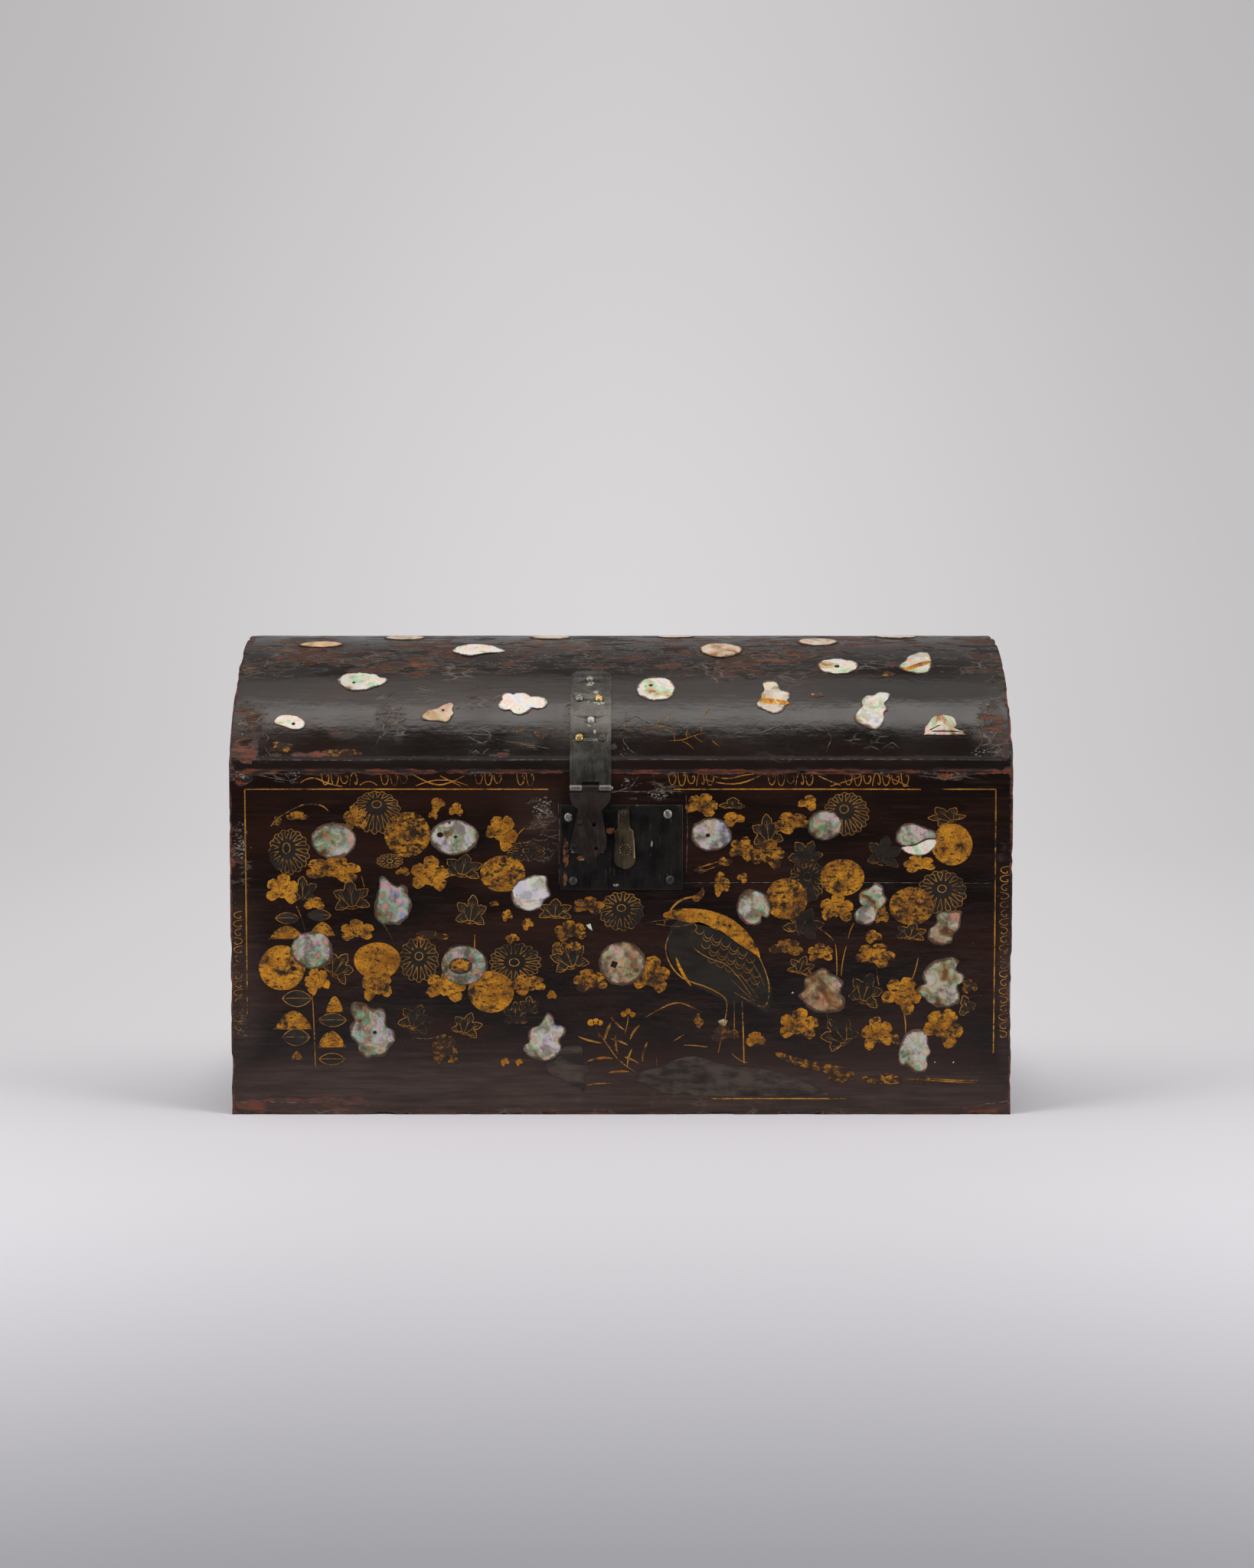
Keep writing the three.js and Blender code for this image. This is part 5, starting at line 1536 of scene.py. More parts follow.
# %% Materials: sprinkled gold
def gold_material(name, bright, dull, under, wear_base):
    """Sprinkled gold with rubbed patches. wear_base is how much is gone where the painted tone is 0."""
    material, tree, shader, place = start_material(name)
    powder = cloud(tree, place, 1500.0, 3.0, 0.7)
    cloudy = cloud(tree, place, 110.0, 4.0, 0.6)
    mixed = plus_share(tree, maths(tree, "MULTIPLY", powder, 0.55), cloudy, 0.55)
    base = blend_colours(tree, remap(tree, mixed, 0.44, 0.68), dull, bright)
    amount = plus_share(tree, wear_base, attribute(tree, "tone"), 0.34)
    coarse = ragged(tree, place, 190.0, amount, 0.09)
    streaks = ragged(tree, stretched(tree, place, (0.5, 1, 1)), 640.0, amount, 0.08)
    lost = maths(tree, "MAXIMUM", coarse, streaks)
    base = blend_colours(tree, lost, base, under)
    rough = plus_share(tree, remap(tree, mixed, 0.35, 0.7, 0.52, 0.36), lost, -0.12, clamp=True)
    tree.links.new(remap(tree, lost, 0.0, 1.0, 0.45, 0.0), shader.inputs["Metallic"])
    height = plus_share(tree, maths(tree, "MULTIPLY", powder, 0.35), lost, -0.6)
    wire(tree, shader, base, rough, height, 0.00015, 0.7, gloss=0.3)
    return material


gold_bright = colour(0.68, 0.295, 0.020)
gold_dull = colour(0.215, 0.075, 0.006)
gold_under = colour(0.024, 0.010, 0.0045)
gold = gold_material("gold_lacquer", gold_bright, gold_dull, gold_under, 0.30)
gold_line = gold_material("gold_line", colour(0.54, 0.25, 0.038), gold_dull, gold_under, 0.34)
print("gold ready")

# %% Material: raised dark lacquer
relief, tree, shader, place = start_material("dark_relief")
tone = attribute(tree, "tone")
mottle = cloud(tree, stretched(tree, place, (0.35, 1, 1)), 190.0, 5.0, 0.62)
black = blend_colours(tree, mottle, colour(0.0045, 0.0038, 0.003), colour(0.016, 0.013, 0.009))
grey_share = remap(tree, mottle, 0.36, 0.64)
grey = blend_colours(tree, grey_share, colour(0.018, 0.013, 0.011), colour(0.060, 0.044, 0.036))
base = blend_colours(tree, tone, black, grey)
flecks = ragged(tree, place, 420.0, 0.30, 0.04)
base = tinted(tree, base, flecks, 0.5, gold_dull)
rough = remap(tree, mottle, 0.3, 0.7, 0.30, 0.46)
wire(tree, shader, base, rough, mottle, 0.0003, 0.6, gloss=0.2)
print("relief nodes:", len(tree.nodes))

# %% [markdown]
# The plants are of kinds that such coffers share: chrysanthemums seen from the front, lobed leaves, moons
# half hidden by clouds, grasses, rocks by a stream, and a wading bird. Each kind has one small drawing
# function, and the lists say where each one sits.

# %% Motifs: places and sizes, in millimetres
gold_discs = [
    (-122.7, 162.3, 13.3, 13, 0.55), (-195.5, 85.2, 13.2, 13, 0.35), (-68, 139.5, 13, 10.5, 0.5),
    (-140.5, 89.5, 13.4, 10.5, 0.3), (-75, 71.5, 13.3, 12, 0.35), (127, 137.5, 12.7, 10.8, 0.4),
    (95, 125, 12.2, 11.8, 0.45), (190, 156.5, 11.8, 12, 0.3), (167, 121, 12.8, 11, 0.5),
]
gold_moons = [
    (-192.5, 103, 9.3, 6.7), (-172, 104.6, 6.9, 7.2), (-189, 50.5, 10.3, 9.9), (-165.3, 60.4, 4.8, 8.4),
    (-167.2, 40, 7.8, 8.8), (-187.2, 33, 2.9, 4),
]
gold_lens_leaves = [
    (-192.1, 114, 7.2, 3.3), (-173.8, 115.7, 7.2, 3.4), (-186.9, 67.5, 8.9, 4.8), (-166.5, 55, 8.5, 4),
    (-187.6, 45, 8.3, 5), (-167, 32.3, 7.8, 3.5),
]
gold_leaves = [
    (-166, 141, 17, 9, 0.4), (-152.5, 170, 7.2, 9, 0.5), (-104.9, 179, 4.5, 4.5, 0.3),
    (-94.9, 175.7, 4.5, 4.5, 0.3), (-108, 173, 3, 3, 0.3), (-69.3, 162.3, 9.8, 11, 0.35),
    (-110, 137, 12, 11.6, 0.35), (-125.5, 140.3, 4.5, 3, 0.5), (-195, 129, 10, 10, 0.35),
    (-176.5, 121.5, 6.5, 4.5, 0.4), (-152, 105.6, 10.5, 7.2, 0.4), (-109.5, 103, 11, 3.9, 0.8),
    (-174.8, 76.3, 7.7, 8.6, 0.3), (-140.7, 73.8, 9.5, 11.2, 0.4), (-101.3, 72.7, 12.5, 10, 0.35),
    (-53, 74.5, 10.5, 6.7, 0.5), (-40, 69, 3, 3, 0.4), (-17.6, 76.6, 10.6, 7.6, 0.5),
    (17, 79, 11.6, 12.3, 0.45), (-36.5, 95.5, 4, 4.5, 0.5), (-27.5, 97.5, 5, 2.8, 0.4),
    (-19.3, 120.2, 10, 6, 0.6), (-29, 105.5, 10, 7, 0.5), (46, 178, 10, 8, 0.45), (65, 170.4, 7, 4.7, 0.4),
    (69.5, 152.5, 8, 8, 0.5), (57.9, 132.3, 5, 8, 0.5), (69.6, 136.8, 3.5, 3.5, 0.5),
    (99, 168, 10.8, 6.8, 0.5), (106.8, 179.6, 6, 5, 0.4), (84, 149.5, 10, 10, 0.6),
    (124, 118, 10.6, 9.8, 0.4), (149.8, 114.8, 4.8, 6.4, 0.5), (171.5, 144.2, 9.7, 5.8, 0.35),
    (95, 96, 11, 5.5, 0.6), (114.8, 93, 8, 6.4, 0.5), (145.6, 91.3, 11.7, 8, 0.5),
    (145.4, 102.6, 5.3, 4.5, 0.4), (161, 68, 12, 12, 0.4), (185, 49, 12.2, 12.2, 0.4),
    (148, 45.5, 9.8, 11.2, 0.45), (102.3, 50.5, 12.3, 10.5, 0.45), (201, 73.8, 5, 5, 0.6),
    (158.5, 43, 2.5, 3.5, 0.4), (60, 46, 9, 5.5, 0.75), (77.6, 43, 6.2, 5, 0.3), (-102, 37, 8.3, 9.8, 0.72),
    (-186, 172.3, 7, 3, 0.5),
]
gold_scraps = [
    (-97, 31, 3.5, 2.5, 0.5), (-67, 30.4, 2.8, 2.8, 0.2), (-58.8, 30.2, 2.4, 2.4, 0.2),
    (-73, 122, 3, 2, 0.3), (-65.5, 115, 3.5, 4, 0.4), (-53.8, 110, 3.8, 4, 0.5),
    (-62.5, 101.8, 4.5, 3.2, 0.4), (-198, 170, 3, 3, 0.6), (126, 21.5, 8, 3.5, 0.8),
    (152.5, 21, 9.5, 3.3, 0.6), (173.2, 20.2, 6.6, 2.5, 0.7), (45, 55, 3, 4.7, 0.5), (60, 147, 5, 3, 0.6),
    (46, 142, 4, 2.4, 0.7),
]
dark_leaves = [
    (-155, 124.5, 12, 11), (-91, 142, 12.5, 9), (-86.5, 116, 10, 11), (-163.5, 84.5, 9.5, 10.5),
    (-119, 54, 11, 10), (-89.5, 50.5, 9.5, 8.5), (-38, 117.5, 11, 7.5), (84.3, 162.3, 10.3, 11),
    (106.3, 149, 10.5, 10.5), (104.3, 109, 12.5, 10.6), (150.8, 149.8, 11, 11.4), (187.6, 172, 11.4, 6.4),
    (166.8, 104.8, 10, 6.4), (103.4, 85, 8.4, 6.7), (140.5, 70, 10.5, 11.7), (126.7, 45.7, 11.7, 11.4),
    (63.7, 179, 8, 4.2), (-29.5, 89.5, 12, 10.5), (199.5, 62, 5.5, 7),
]
chrysanthemums = [
    (-140.5, 175, 13.8, 12, -140.4, 179.6, 2.9, 2.1, 20),
    (-190.8, 152.3, 11.5, 12.8, -192.3, 154.3, 2.2, 3.2, 18),
    (0.1, 118, 12.6, 11, 0.1, 119.9, 2.6, 2.0, 18), (-61, 88.5, 14.5, 11, -61.6, 88.4, 3, 2.3, 20),
    (129.2, 174, 12.8, 12.2, 127.9, 176.8, 2.6, 2.4, 20), (107, 136, 10, 12.5, 107, 138.1, 2.4, 2.6, 18),
    (184.5, 129, 13.8, 12.3, 184.5, 131, 2.6, 2.2, 18), (-54.7, 152.5, 10.7, 5.5, -54.7, 153, 2, 1.4, 14),
    (-116.5, 90, 11.2, 12.7, -116.5, 92, 2.4, 2.4, 16), (-133, 147, 7.5, 4, -133, 147, 1.6, 1.2, 12),
]
small_flowers = [(-183.2, 128.4, 9), (-61, 57, 8), (-53, 62, 6.5)]
rocks = [
    [(-34.9, 38.8), (-27.1, 40.1), (-22.7, 39.9), (-21.9, 35.4), (-23.8, 31), (-19.3, 28.8), (-18.2, 25.4),
        (-21.6, 21), (-20.4, 15.4), (-22.1, 12.7), (-23.8, 16), (-29.3, 17.1), (-33.8, 21.6), (-39.3, 22.1),
        (-43.2, 26.6), (-43.8, 29.3), (-37.7, 31)],
    [(7.3, 20.4), (11.8, 25.4), (24, 27.7), (30.7, 32.1), (40.7, 34.3), (50.7, 32.1), (57.3, 29.3),
        (76, 27.1), (80.7, 26.8), (96.2, 23.2), (109.6, 17.1), (120.7, 12.1), (118.4, 10.8), (50.7, 10.8),
        (35.1, 11.6), (24, 12.7), (18.4, 15.4), (10.7, 19.3)],
]
bird_body = [
    (30, 112), (42, 116), (53, 116), (64, 112), (72, 104), (77, 98), (82, 86), (87, 75), (86.8, 64.3),
    (84, 58.2), (80.7, 61), (70, 66), (62, 63), (58.4, 66.6), (50.7, 71), (41.8, 74.9), (34, 82),
    (27.5, 92), (25.5, 103),
]
bird_back = [
    (23.6, 116.8), (30, 118.8), (36.6, 119.9), (50, 118.9), (62.3, 114.7), (71.6, 107.4), (78.8, 97),
    (80.5, 90), (76.7, 93.9), (70.5, 98), (62.3, 104.3), (52, 108.5), (42.7, 112.6), (36.6, 115.2),
    (24.7, 113.7),
]
bird_nape = [(39.8, 126.1), (42.8, 122.9), (47.2, 126.1), (48.2, 129.5), (46.6, 132.4), (45.6, 129.2)]
bird_stripe = [(31.2, 93), (35.5, 83.5), (41.7, 73.1), (36.6, 78.3), (32, 86.6)]
bird_lines = [
    ([(42.9, 142.3), (52, 146), (62.9, 148.1)], 1.6, 0.1),
    ([(44, 140.6), (53, 142.5), (62, 147)], 0.9, 0.1),
    ([(47.2, 128.1), (41.8, 126.3), (34.4, 125.1), (27.3, 118.3), (24.3, 109.4)], 1.2, 0.3),
    ([(13.9, 111.6), (23.2, 112.6), (32.4, 114.2), (41.7, 111.8), (44.5, 108), (41.6, 106)], 0.45, 0.4),
    ([(14.5, 111.2), (23.2, 110.4), (29.3, 109), (36.6, 109.6), (41, 111)], 0.45, 0.4),
    ([(29.3, 106.9), (25.7, 101.2), (25.5, 93.9), (28.3, 86.6), (33.5, 80.4), (39.6, 77.2), (46.9, 75.1),
        (54, 72), (60.2, 67.9), (61.3, 63.7), (59.7, 53.3), (56, 36)], 0.75, 0.5),
    ([(41, 107.5), (39.6, 102), (40.6, 98), (45, 94), (52, 90), (60, 88), (66, 82), (72, 74),
        (77, 66)], 0.5, 0.4),
    ([(78.8, 92.9), (82.9, 84.5), (85.5, 75.1), (85, 66.8), (82.9, 62.1), (77.8, 63.7), (70.5, 67.9),
        (65.4, 71)], 0.7, 0.5),
    ([(66, 84), (74, 76), (80, 66)], 0.4, 0.2), ([(70, 88), (77, 80), (82, 68)], 0.4, 0.2),
    ([(73, 92), (79, 84), (83, 74)], 0.4, 0.2), ([(62, 80), (70, 72), (78, 64.5)], 0.4, 0.2),
    ([(65.2, 66), (65.3, 55), (65.3, 44)], 0.6, 0.6), ([(69.6, 66), (70.4, 52), (70.9, 29.9)], 0.85, 0.7),
    ([(64, 35.4), (69.6, 29.9), (73, 30.5)], 0.7, 0.3),
]
stems = [
    [(-149.3, 138.4), (-147.7, 132)], [(-187, 121), (-183, 113.4), (-181.6, 104.6)],
    [(-178, 69.3), (-177, 50), (-176.6, 28)], [(-137, 110.6), (-133, 105), (-130.4, 98.4)],
    [(-84.3, 104.6), (-84.6, 98), (-84, 92)], [(112.3, 109), (118, 106), (122.3, 101.2)],
    [(134, 111.2), (131.5, 107), (130.7, 102.3)], [(123.4, 98.8), (124.5, 90), (124.2, 81)],
    [(129.6, 97.7), (127, 89), (126.8, 80.4)], [(163, 59), (164.5, 53), (164, 47)],
    [(118.5, 59), (119, 55), (121.5, 51)], [(171, 91), (170, 84), (167, 77)],
    [(147, 85), (147.5, 80), (148.5, 75)], [(-59.5, 162), (-57, 165), (-55.4, 166)],
    [(-195.4, 172.9), (-184.9, 179.2), (-178, 179.9), (-170.4, 179), (-167.7, 175)],
    [(14, 56.6), (24.6, 63.2), (33.4, 65.7), (41.8, 62.1), (47.3, 59.3)],
    [(36.2, 40.4), (43, 40.5), (49.6, 39.3)], [(180, 21), (193, 19.5), (206, 20)],
    [(-201, 167), (-199, 171), (-195, 173)], [(20.4, 34.3), (20.6, 31), (20.4, 27.7)],
]
grasses = [
    ([(-24.9, 45.4), (-18, 42.5), (-11, 41.6)], 2.2), ([(-9.9, 42.1), (-8.5, 49), (-5.4, 54.3)], 3.0),
    ([(-6, 56.8), (-3, 52.5), (1.8, 49.3)], 2.0), ([(-3.2, 46), (-3.5, 41), (-2.1, 35.4)], 2.6),
    ([(-6.6, 44.3), (-1.5, 43.2), (4, 40.4)], 2.4), ([(5.1, 43.8), (7, 49), (10.7, 52.1)], 2.4),
    ([(12.3, 31), (12.5, 37), (15.1, 42.1)], 3.0), ([(-19.6, 31), (-12, 34), (-4.9, 32.7)], 2.8),
    ([(0.7, 33.8), (5, 33), (10.1, 29.9)], 2.2), ([(3.4, 28.2), (4, 34), (6.2, 38.2)], 2.0),
    ([(-8.2, 24.1), (-2, 25.8), (4.6, 24.9)], 2.4), ([(-19.9, 17.1), (-13, 18.6), (-6, 18.2)], 1.5),
    ([(-14.3, 49.9), (-7, 39), (-0.4, 29.9), (9, 24.3)], 0.7),
    ([(30, 42.7), (33, 44.5), (36.2, 46.6)], 0.9), ([(-12, 44), (-14.5, 50), (-15, 54)], 0.8),
    ([(2, 47), (4, 53), (4, 58)], 0.8), ([(164, 21), (185, 19.2), (205, 18.6)], 1.2),
]
ground_strokes = [
    [(88, 37.4), (100, 33.6), (116, 30.2), (132, 26.8), (136, 22.6), (128, 22.2), (112, 25.6), (98, 29.6),
        (90, 33.4)],
    [(138, 22.6), (150, 22), (161, 21.4), (164, 18.2), (150, 17.4), (141, 18.8)],
]
petal_dots = [
    (-17.5, 53.5, 2), (-14.5, 54.2, 1.8), (-12.2, 53.5, 1.6), (1.5, 58.5, 1.7), (4, 60, 1.7),
    (6.5, 58.2, 1.6),
]

# %% Motifs: drawing functions
gold_lines = []
outline_width = 0.36
vein_width = 0.34
crack_width = 0.4
petal_loops = (
    (0.0, "ring", ((0.22, 0.0), (0.55, -0.16), (0.84, -0.36), (0.96, 0.0), (0.84, 0.36), (0.55, 0.16))),
    (0.5, 0.8, ((0.90, -0.34), (0.99, -0.30), (1.05, 0.0), (0.99, 0.30), (0.90, 0.34))),
)
tendril = [
    (0, 0.5), (0.08, -0.1), (0.3, -0.5), (0.62, -0.45), (0.82, -0.05), (0.8, 0.35), (0.6, 0.42),
    (0.56, 0.2),
]


def between(here, there, share):
    """The point at a share of the way from here to there."""
    return tuple(a + (b - a) * share for a, b in zip(here, there))


def ring_line(outline, thick=outline_width):
    """A closed line through every other point of an outline."""
    gold_lines.append((outline[::2], thick, "ring"))


def draw_chrysanthemum(x, z, radius_x, radius_z, eye_x, eye_z, eye_rx, eye_rz, petals):
    """Slim petal loops from the eye to the rim, a row of short tips between them, and an oval eye."""
    count = round(petals * 0.85)
    step = 2 * math.pi / count
    for k in range(count):
        for shift, taper, shares in petal_loops:
            line = []
            for share, side in shares:
                angle = k * step + (side + shift) * step
                inner = on_oval(eye_x, eye_z, eye_rx, eye_rz, angle)
                line.append(between(inner, on_oval(x, z, radius_x, radius_z, angle), share))
            gold_lines.append((line, 0.32, taper))
    ring_line(oval(eye_x, eye_z, eye_rx, eye_rz, 20), 0.42)


def lobe_tips(x, z, radius_x, radius_z, lobes, foot):
    """The foot of a leaf, the ways of its lobes and the angle between them, as leaf() places them."""
    gap, first = lobe_ways(lobes, foot)
    root = on_oval(x, z, radius_x, radius_z, math.radians(foot), 0.5)
    return root, [first + j * gap for j in range(lobes)], gap


def veins(x, z, radius_x, radius_z, lobes, foot):
    """A gold vein from a leaf's foot into each lobe, with two short side veins."""
    root, turns, gap = lobe_tips(x, z, radius_x, radius_z, lobes, foot)
    for turn in turns:
        tip = on_oval(x, z, radius_x, radius_z, turn, 0.74)
        middle = between(root, tip, 0.55)
        gold_lines.append(([root, middle, tip], vein_width, 0.4))
        for side in (-0.22, 0.22):
            twig = on_oval(x, z, radius_x, radius_z, turn + side * gap, 0.66)
            gold_lines.append(([middle, twig], vein_width * 0.8, 0.4))


def lobe_cracks(x, z, radius_x, radius_z, lobes, foot):
    """Lines between the lobes of a gold leaf, from the notches in towards its foot."""
    root, turns, gap = lobe_tips(x, z, radius_x, radius_z, lobes, foot)
    lines = []
    for turn in turns[:-1]:
        outer = on_oval(x, z, radius_x, radius_z, turn + gap / 2, 0.66)
        inner = between(outer, root, 0.55)
        bend = tuple(part + 0.3 for part in between(outer, inner, 0.3))
        lines.append(([outer, bend, inner], crack_width, 0.3))
    return lines


def scroll(start, end, curl, gap, thick=0.62):
    """A run of U-shaped tendrils between two points, each with one arm rolled in."""
    run = Vector(end) - Vector(start)
    along = run.normalized()
    across = Vector((-along.y, along.x))
    for k in range(int(run.length / gap)):
        foot = Vector(start) + along * gap * k
        size = 1 + 0.22 * math.sin(k * 2.3)
        flip = -1 if k % 4 == 3 else 1
        line = [tuple(foot + along * gap * a + across * curl * size * flip * b) for a, b in tendril]
        gold_lines.append((line, thick, 0.55))


# %% Motifs: gold shapes on the front
def foot_of(x, z):
    """The way a leaf's foot points, in degrees: down, leaning to one side or the other by its place."""
    return -90 + 75 * noise.noise(Vector((x * 0.21, z * 0.17, 9)))


def leaf_lobes(radius_x, radius_z):
    """Small leaves have three lobes."""
    return 5 if min(radius_x, radius_z) > 5.5 else 3


gold_shapes = []
for x, z, radius_x, radius_z, worn in gold_discs:
    gold_shapes.append((oval(x, z, radius_x, radius_z, 48, 0.02), 0.16, worn))
for x, z, half_width, up in gold_moons:
    gold_shapes.append((half_leaf(x, z, half_width, up), 0.15, 0.4))
for x, z, radius_x, radius_z, worn in gold_leaves:
    lobes = leaf_lobes(radius_x, radius_z)
    outline = leaf(x, z, radius_x * 1.02, radius_z * 1.02, lobes, 0.32, foot_of(x, z), blunt=3.6, teeth=0.02)
    gold_shapes.append((outline, 0.14, worn))
for x, z, radius_x, radius_z, worn in gold_scraps:
    gold_shapes.append((leaf(x, z, radius_x, radius_z, 4, 0.3, x, 32, 3.6, 0.02), 0.13, worn))
front_gold = start_sheet("front_gold_shapes")
cut_in_layers(front_gold, gold_shapes)
high_gold = [(bird_back, 0.35), (bird_nape, 0.45), (bird_stripe, 0.3), *zip(ground_strokes, (0.62, 0.7))]
for outline, worn in high_gold:
    cut_patch(front_gold, rounded(outline), 0.28, worn)
for x, z, radius in petal_dots:
    cut_patch(front_gold, oval(x, z, radius, radius, 14), 0.15, 0.1)
close_sheet(front_gold, 0.45)
lay(front_gold, gold, "gold_lacquer", "coffer")

# %% Motifs: dark shapes on the front, and their gold outlines
front_relief = start_sheet("front_dark_relief")
for x, z, half_width, half_height in gold_lens_leaves:
    cut_patch(front_relief, lens(x, z, half_width, half_height), 0.08, 0.35)
    ring_line(lens(x, z, half_width, half_height), 0.38)
    gold_lines.append(([(x - half_width, z), (x, z + 0.4), (x + half_width, z)], 0.42, 0.5))
relief_shapes = []


def add_dark_leaf(x, z, radius_x, radius_z, lobes, notch, foot):
    """A dark leaf with a gold outline and gold veins."""
    outline = leaf(x, z, radius_x, radius_z, lobes, notch, foot)
    relief_shapes.append((outline, 0.09, 0.1))
    ring_line(outline)
    veins(x, z, radius_x, radius_z, lobes, foot)


for x, z, radius_x, radius_z in dark_leaves:
    add_dark_leaf(x, z, radius_x, radius_z, leaf_lobes(radius_x, radius_z), 0.55, foot_of(x, z))
for flower in chrysanthemums:
    relief_shapes.append((oval(*flower[:4], 40, 0.01), 0.09, 0.1))
    draw_chrysanthemum(*flower)
for x, z, radius in small_flowers:
    add_dark_leaf(x, z, radius, radius, 5, 0.5, -90)
relief_shapes += [(rounded(outline), 0.12, 1.0) for outline in rocks]
relief_shapes.append((rounded(bird_body), 0.14, 0.12))
cut_in_layers(front_relief, relief_shapes)
close_sheet(front_relief, 0.4)
lay(front_relief, relief, "black_lacquer", "coffer")

# %% Motifs: stems, grasses, the bird's feathers and the gold frame
for points in stems:
    gold_lines.append((points, 0.8, 0.5))
for points, thick in grasses:
    gold_lines.append((points, thick, 0.1))
gold_lines.extend(bird_lines)
feather_edge = ((-2.4, 1.0), (-2.2, -1.0), (0, -2.4), (2.2, -1.6), (2.8, 0.4))
for feather_row in range(5):
    for column in range(6):
        x = 45 + column * 5 + (feather_row % 2) * 2.5 + feather_row * 1.8
        z = 107 - feather_row * 4.2 - column * 2.5
        if x < 78 and (x - 45) * 1.1 + (z - 70) < 54:
            gold_lines.append(([(x + a, z + b) for a, b in feather_edge], 0.34, 0.3))
for x, z, half_width, up in gold_moons:
    line = [(x - half_width * 1.15, z - 0.6), (x, z - 0.9), (x + half_width * 1.1, z - 0.5)]
    gold_lines.append((line, 0.5, 0.4))
frame_lines = [
    [(-216, 188.2), (-130, 188.4), (-42, 188.2)], [(30, 188.2), (100, 188.4), (172, 188.2)],
    [(184, 188.2), (200, 188.3), (215, 188.2)], [(-216, 188), (-215.7, 120), (-215.6, 56)],
    [(215, 188), (215.2, 110), (214.8, 36)], [(51, 9.3), (90, 9.4), (130, 9.3)],
]
for points in frame_lines:
    gold_lines.append((points, 0.85, 0.85))

# %% Motifs: the border scroll
top_runs = [
    ((-172, 194), (-150, 194)), ((-138, 194), (-121, 194)), ((-84, 194.5), (-66, 194)),
    ((-60, 194), (-44, 193.8)), ((27, 194), (56, 193.8)), ((84, 194), (116, 193.8)),
    ((128, 194), (168, 193.6)),
]
side_runs = [((220.4, 144), (220.4, 40)), ((-220.6, 118), (-220.6, 44))]
long_stems = [
    [(-184, 192), (-178, 196.5), (-168, 191), (-160, 189.8)],
    [(-120, 197), (-110, 191), (-100, 190.5), (-90, 196)], [(-104, 196), (-98, 193), (-92, 190)],
    [(47, 194), (60.7, 190), (76, 193.5), (82, 197.5)], [(52, 196), (60, 193.5), (70, 196.5), (76, 197)],
    [(112, 196.5), (119, 193), (126, 190.5)], [(120, 190), (130, 193), (139.6, 196.2)],
    [(149.5, 196.8), (157, 193.5), (165, 190)], [(-150, 190.5), (-145, 195), (-140, 190.5)],
    [(-118, 190.2), (-103, 197), (-88, 190.4)],
]
for start, end in top_runs:
    scroll(start, end, 6.6, 5.4)
for start, end in side_runs:
    scroll(start, end, 4.6, 5.0, 0.5)
for points in long_stems:
    gold_lines.append((points, 0.8, 0.5))
front_lines = draw_lines("front_gold_lines", gold_lines, 0.2)
paint(front_lines, "tone", lambda point: max(0.0, 0.14 + 0.95 * noise.noise(point * 42)))
lay(front_lines, gold_line, "gold_lacquer", "coffer", 60)

# %% [markdown]
# On the larger gold leaves the veins are drawn dark, by lines of black lacquer over the gold. They are one
# more set of brush lines, a little higher than the gold.

# %% Motifs: dark lines over the gold
dark_lines = []
for x, z, radius_x, radius_z, worn in gold_leaves:
    if min(radius_x, radius_z) > 4:
        dark_lines += lobe_cracks(x, z, radius_x, radius_z, leaf_lobes(radius_x, radius_z), foot_of(x, z))
ink_lines = draw_lines("front_dark_lines", dark_lines, 0.24)
paint(ink_lines, "tone", lambda point: 0.0)
lay(ink_lines, relief, "black_lacquer", "coffer")

# %% Motifs: peg holes and marks on the plates
plate_holes = [
    (-104.1, 162.1, 1.8), (-98.6, 169, 0.7), (-95.1, 160.9, 0.9), (49.8, 161.8, 1.3), (-142.1, 47.9, 1.2),
    (-188.8, 84.9, 1.6),
]
lid_holes = [
    (-156.3, 56.3, 1.0), (-189.2, 24.1, 1.1), (-103.2, 33.9, 0.9), (17.3, 53.9, 1.2), (127.1, 72.4, 1.6),
]
dark_diamond = [(-6.4, 86.2), (-3.2, 85.0), (-1.8, 88.4), (-5.0, 89.6)]
front_holes = start_sheet("front_peg_holes")
for x, z, radius in plate_holes:
    cut_patch(front_holes, oval(x, z, radius, radius * 0.85, 14), plate_rise + 0.12)
cut_patch(front_holes, dark_diamond, plate_rise + 0.12)
close_sheet(front_holes, 0.4)
lay(front_holes, relief, "black_lacquer", "coffer")
lid_peg_holes = start_sheet("lid_peg_holes")
for x, s, radius in lid_holes:
    cut_patch(lid_peg_holes, oval(x, s, radius, radius * 0.9, 14), lid_plate_rise + 0.06)
close_sheet(lid_peg_holes, 0.4)
lay(lid_peg_holes, relief, "black_lacquer", "lid")
island = start_sheet("ring_plate_island")
cut_patch(island, leaf(-92.8, 86.3, 6.2, 4.2, 5, 0.3, -90), 0.3, 0.35)
close_sheet(island, 0.4)
lay(island, gold, "gold_lacquer", "coffer")

# %% [markdown]
# Of the lid's gold little is left: a few sprigs to the right of the strap, two bands of gold on the shell,
# and smudges. They are wrapped over the vault like the plates.

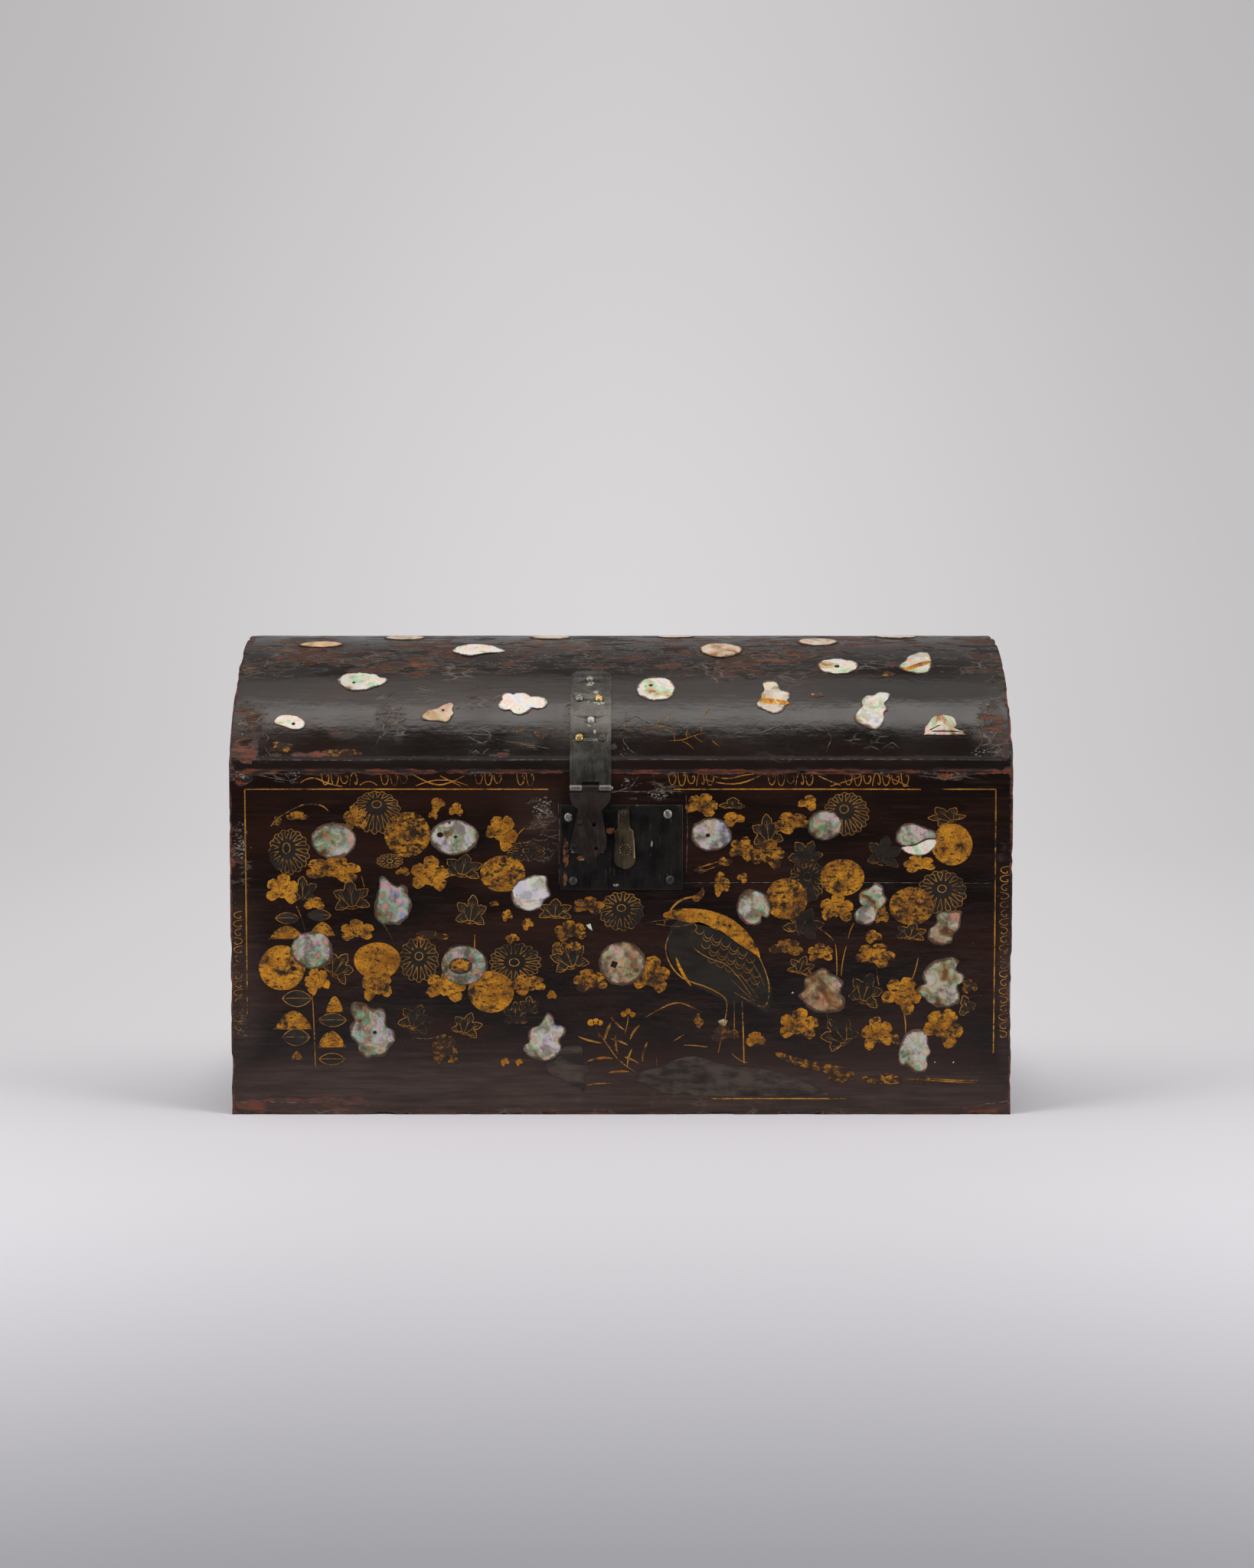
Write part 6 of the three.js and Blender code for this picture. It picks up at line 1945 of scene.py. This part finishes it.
# %% Motifs: the lid
sprigs = [
    [(10.7, 19.4), (19.6, 22.2), (25.1, 22.6), (31.8, 20)], [(24.6, 22.8), (26, 28), (29, 32.2)],
    [(27.3, 12.8), (35.1, 12.8), (41.8, 16.7), (49.6, 18.3)], [(35, 12.8), (39, 11), (41.8, 7.2)],
    [(46.2, 18.3), (46.4, 21), (45.1, 23.9)], [(46.2, 27.2), (48, 31), (51.8, 36.1)],
    [(52.3, 12.8), (54, 11.5), (56.2, 9.4)], [(35.1, 29), (35.1, 32)], [(1.8, 20), (1.6, 24), (1.8, 27)],
    [(19.6, 22.2), (22, 26), (21, 28)], [(41.8, 16.7), (44, 13), (47, 12)],
    [(38, 14.5), (37, 18), (38.5, 20.5)], [(31, 12.8), (30, 15), (31, 17)],
]
lid_lines = draw_lines("lid_gold_lines", [(points, 0.6, 0.3) for points in sprigs], 0.1)
lay(lid_lines, gold_line, "gold_lacquer", "lid")
smudges = [
    (-58, 20, 4, 3, 0.75), (-45, 17, 6, 4, 0.85), (114, 47, 4, 3, 0.7), (156, 65, 5, 3, 0.7),
    (-197, 9, 9, 4, 0.75), (-162, 5, 14, 3, 0.7), (-185, 76, 6, 3, 0.8), (-163, 74, 5, 2.5, 0.8),
]
shell_bands = (
    [(81, 44), (97, 41), (97.5, 37.5), (80, 39.5)], [(165, 70), (182.5, 80), (182.8, 76), (168, 67.5)],
)
lid_gold = start_sheet("lid_gold_smudges")
for x, s, radius_x, radius_s, worn in smudges:
    cut_patch(lid_gold, leaf(x, s, radius_x, radius_s, 4, 0.3, x, 40), 0.05, worn, cuts=3)
for band in shell_bands:
    cut_patch(lid_gold, rounded(band), lid_plate_rise + 0.05, 0.25, cuts=3)
close_sheet(lid_gold, 0.35)
lay(lid_gold, gold, "gold_lacquer", "lid")

# %% [markdown]
# Where the lacquer has split along a board's joint or round a flake, its lifted edge catches the light as a
# thin pale line. The longest of them are drawn as fine ridges, and that pale line is painted into their
# colour as a painted highlight.

# %% Cracks with a lifted edge
ridge, tree, shader, place = start_material("lifted_edge")
mottle = cloud(tree, place, 320.0, 4.0, 0.6)
# Painted highlight: the pale in the ridges' colour stands for the light their lifted edge catches.
painted_highlight_share = remap(tree, mottle, 0.42, 0.6)
base = blend_colours(tree, painted_highlight_share, colour(0.020, 0.012, 0.009), colour(0.17, 0.135, 0.11))
wire(tree, shader, base, remap(tree, mottle, 0.3, 0.7, 0.3, 0.5), mottle, 0.0002, 0.5)


def crack(points, shake):
    """A traced line with small kinks at every quarter of the way between its points."""
    line = []
    for here, there in zip(points, points[1:]):
        for k in range(4):
            x, z = between(here, there, k / 4)
            kink = Vector((x * 0.9, z * 0.9, 2))
            line.append((x + noise.noise(kink) * shake, z + noise.noise(kink + Vector((7, 3, 1))) * shake))
    line.append(points[-1])
    return line


lid_cracks = [
    ([(-222, 0.8), (-170, 0.4), (-120, 1.0)], 0.35), ([(-100, 0.7), (-60, 0.5), (-30, 0.9)], 0.35),
    ([(-5, 1.2), (30, 0.9), (60, 0.8)], 0.35), ([(84, 0.9), (130, 1.2), (221, 0.6)], 0.35),
    ([(-138, 14), (-137, 24), (-140, 32), (-136, 42), (-132, 52)], 1.6),
    ([(-130, 12), (-128, 22), (-131, 30), (-127, 38)], 1.6),
    ([(-141, 10), (-138, 20), (-134, 30), (-137, 38)], 1.4),
    ([(-201, 3), (-205, 9), (-203, 15), (-207, 20)], 1.2),
    ([(-172, 17), (-164, 20), (-156, 20.5), (-151, 18)], 0.8),
    ([(-72, 14), (-60, 11), (-48, 9), (-41, 8)], 0.8), ([(-88, 3), (-84, 7), (-80, 4), (-76, 8)], 1.4),
    ([(0, 24), (8, 30), (16, 25), (24, 24)], 1.0), ([(1, 14), (4, 8), (9, 4)], 1.0),
    ([(203, 6), (208, 12), (206, 19), (211, 26), (209, 34)], 1.4), ([(212, 10), (216, 18), (213, 28)], 1.4),
    ([(-220, 14), (-214, 20), (-218, 28), (-213, 36)], 1.4), ([(-210, 12), (-206, 16), (-209, 24)], 1.2),
    ([(-160, 70), (-120, 69), (-80, 71), (-40, 70)], 1.0), ([(20, 70), (70, 72), (120, 70)], 1.0),
    ([(-60, 78), (-20, 79), (20, 77)], 1.0), ([(150, 8), (156, 12), (160, 8)], 0.9),
    ([(118, 6), (121, 14), (119, 20)], 1.0),
]
front_cracks = [
    ([(-224, 7), (-205, 7.6), (-190, 6.8), (-177, 7)], 0.5), ([(206, 5.5), (216, 6.6), (224, 8)], 0.5),
    ([(-222, 196.5), (-205, 195.8), (-190, 193), (-184, 196)], 1.0),
    ([(-192, 196.5), (-189, 191), (-186, 196)], 1.0), ([(170, 196.4), (186, 193.8), (196, 196)], 0.8),
    ([(-36, 184), (-35.6, 160), (-35.8, 133)], 0.4), ([(40, 134.5), (120, 134.7), (211, 134.2)], 0.3),
    ([(-24, 186), (-4, 186.6), (6, 190), (10, 196)], 0.9), ([(-6, 187), (14, 186.8), (35, 187)], 0.4),
    ([(37, 186), (38, 165), (37.4, 140)], 0.5), ([(-120, 44.6), (-112, 44), (-106, 45)], 0.5),
]
lid_ridge_lines = [(crack(points, shake), 0.42, 0.5) for points, shake in lid_cracks]
lay(draw_lines("lid_lifted_edges", lid_ridge_lines, 0.05, 0.5), ridge, "black_lacquer", "lid")
front_ridge_lines = [(crack(points, shake), 0.4, 0.5) for points, shake in front_cracks]
lay(draw_lines("front_lifted_edges", front_ridge_lines, 0.03, 0.5), ridge, "black_lacquer", "coffer")

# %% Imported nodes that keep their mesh
for node, packed in frame["nodes"].items():
    if not packed.hide_render:
        metal = {"lock_bolt": steel, "bolt_spring": steel}.get(node, plate_iron)
        for index in range(len(packed.data.materials)):
            packed.data.materials[index] = metal
        print("kept as packed:", node, metal.name)
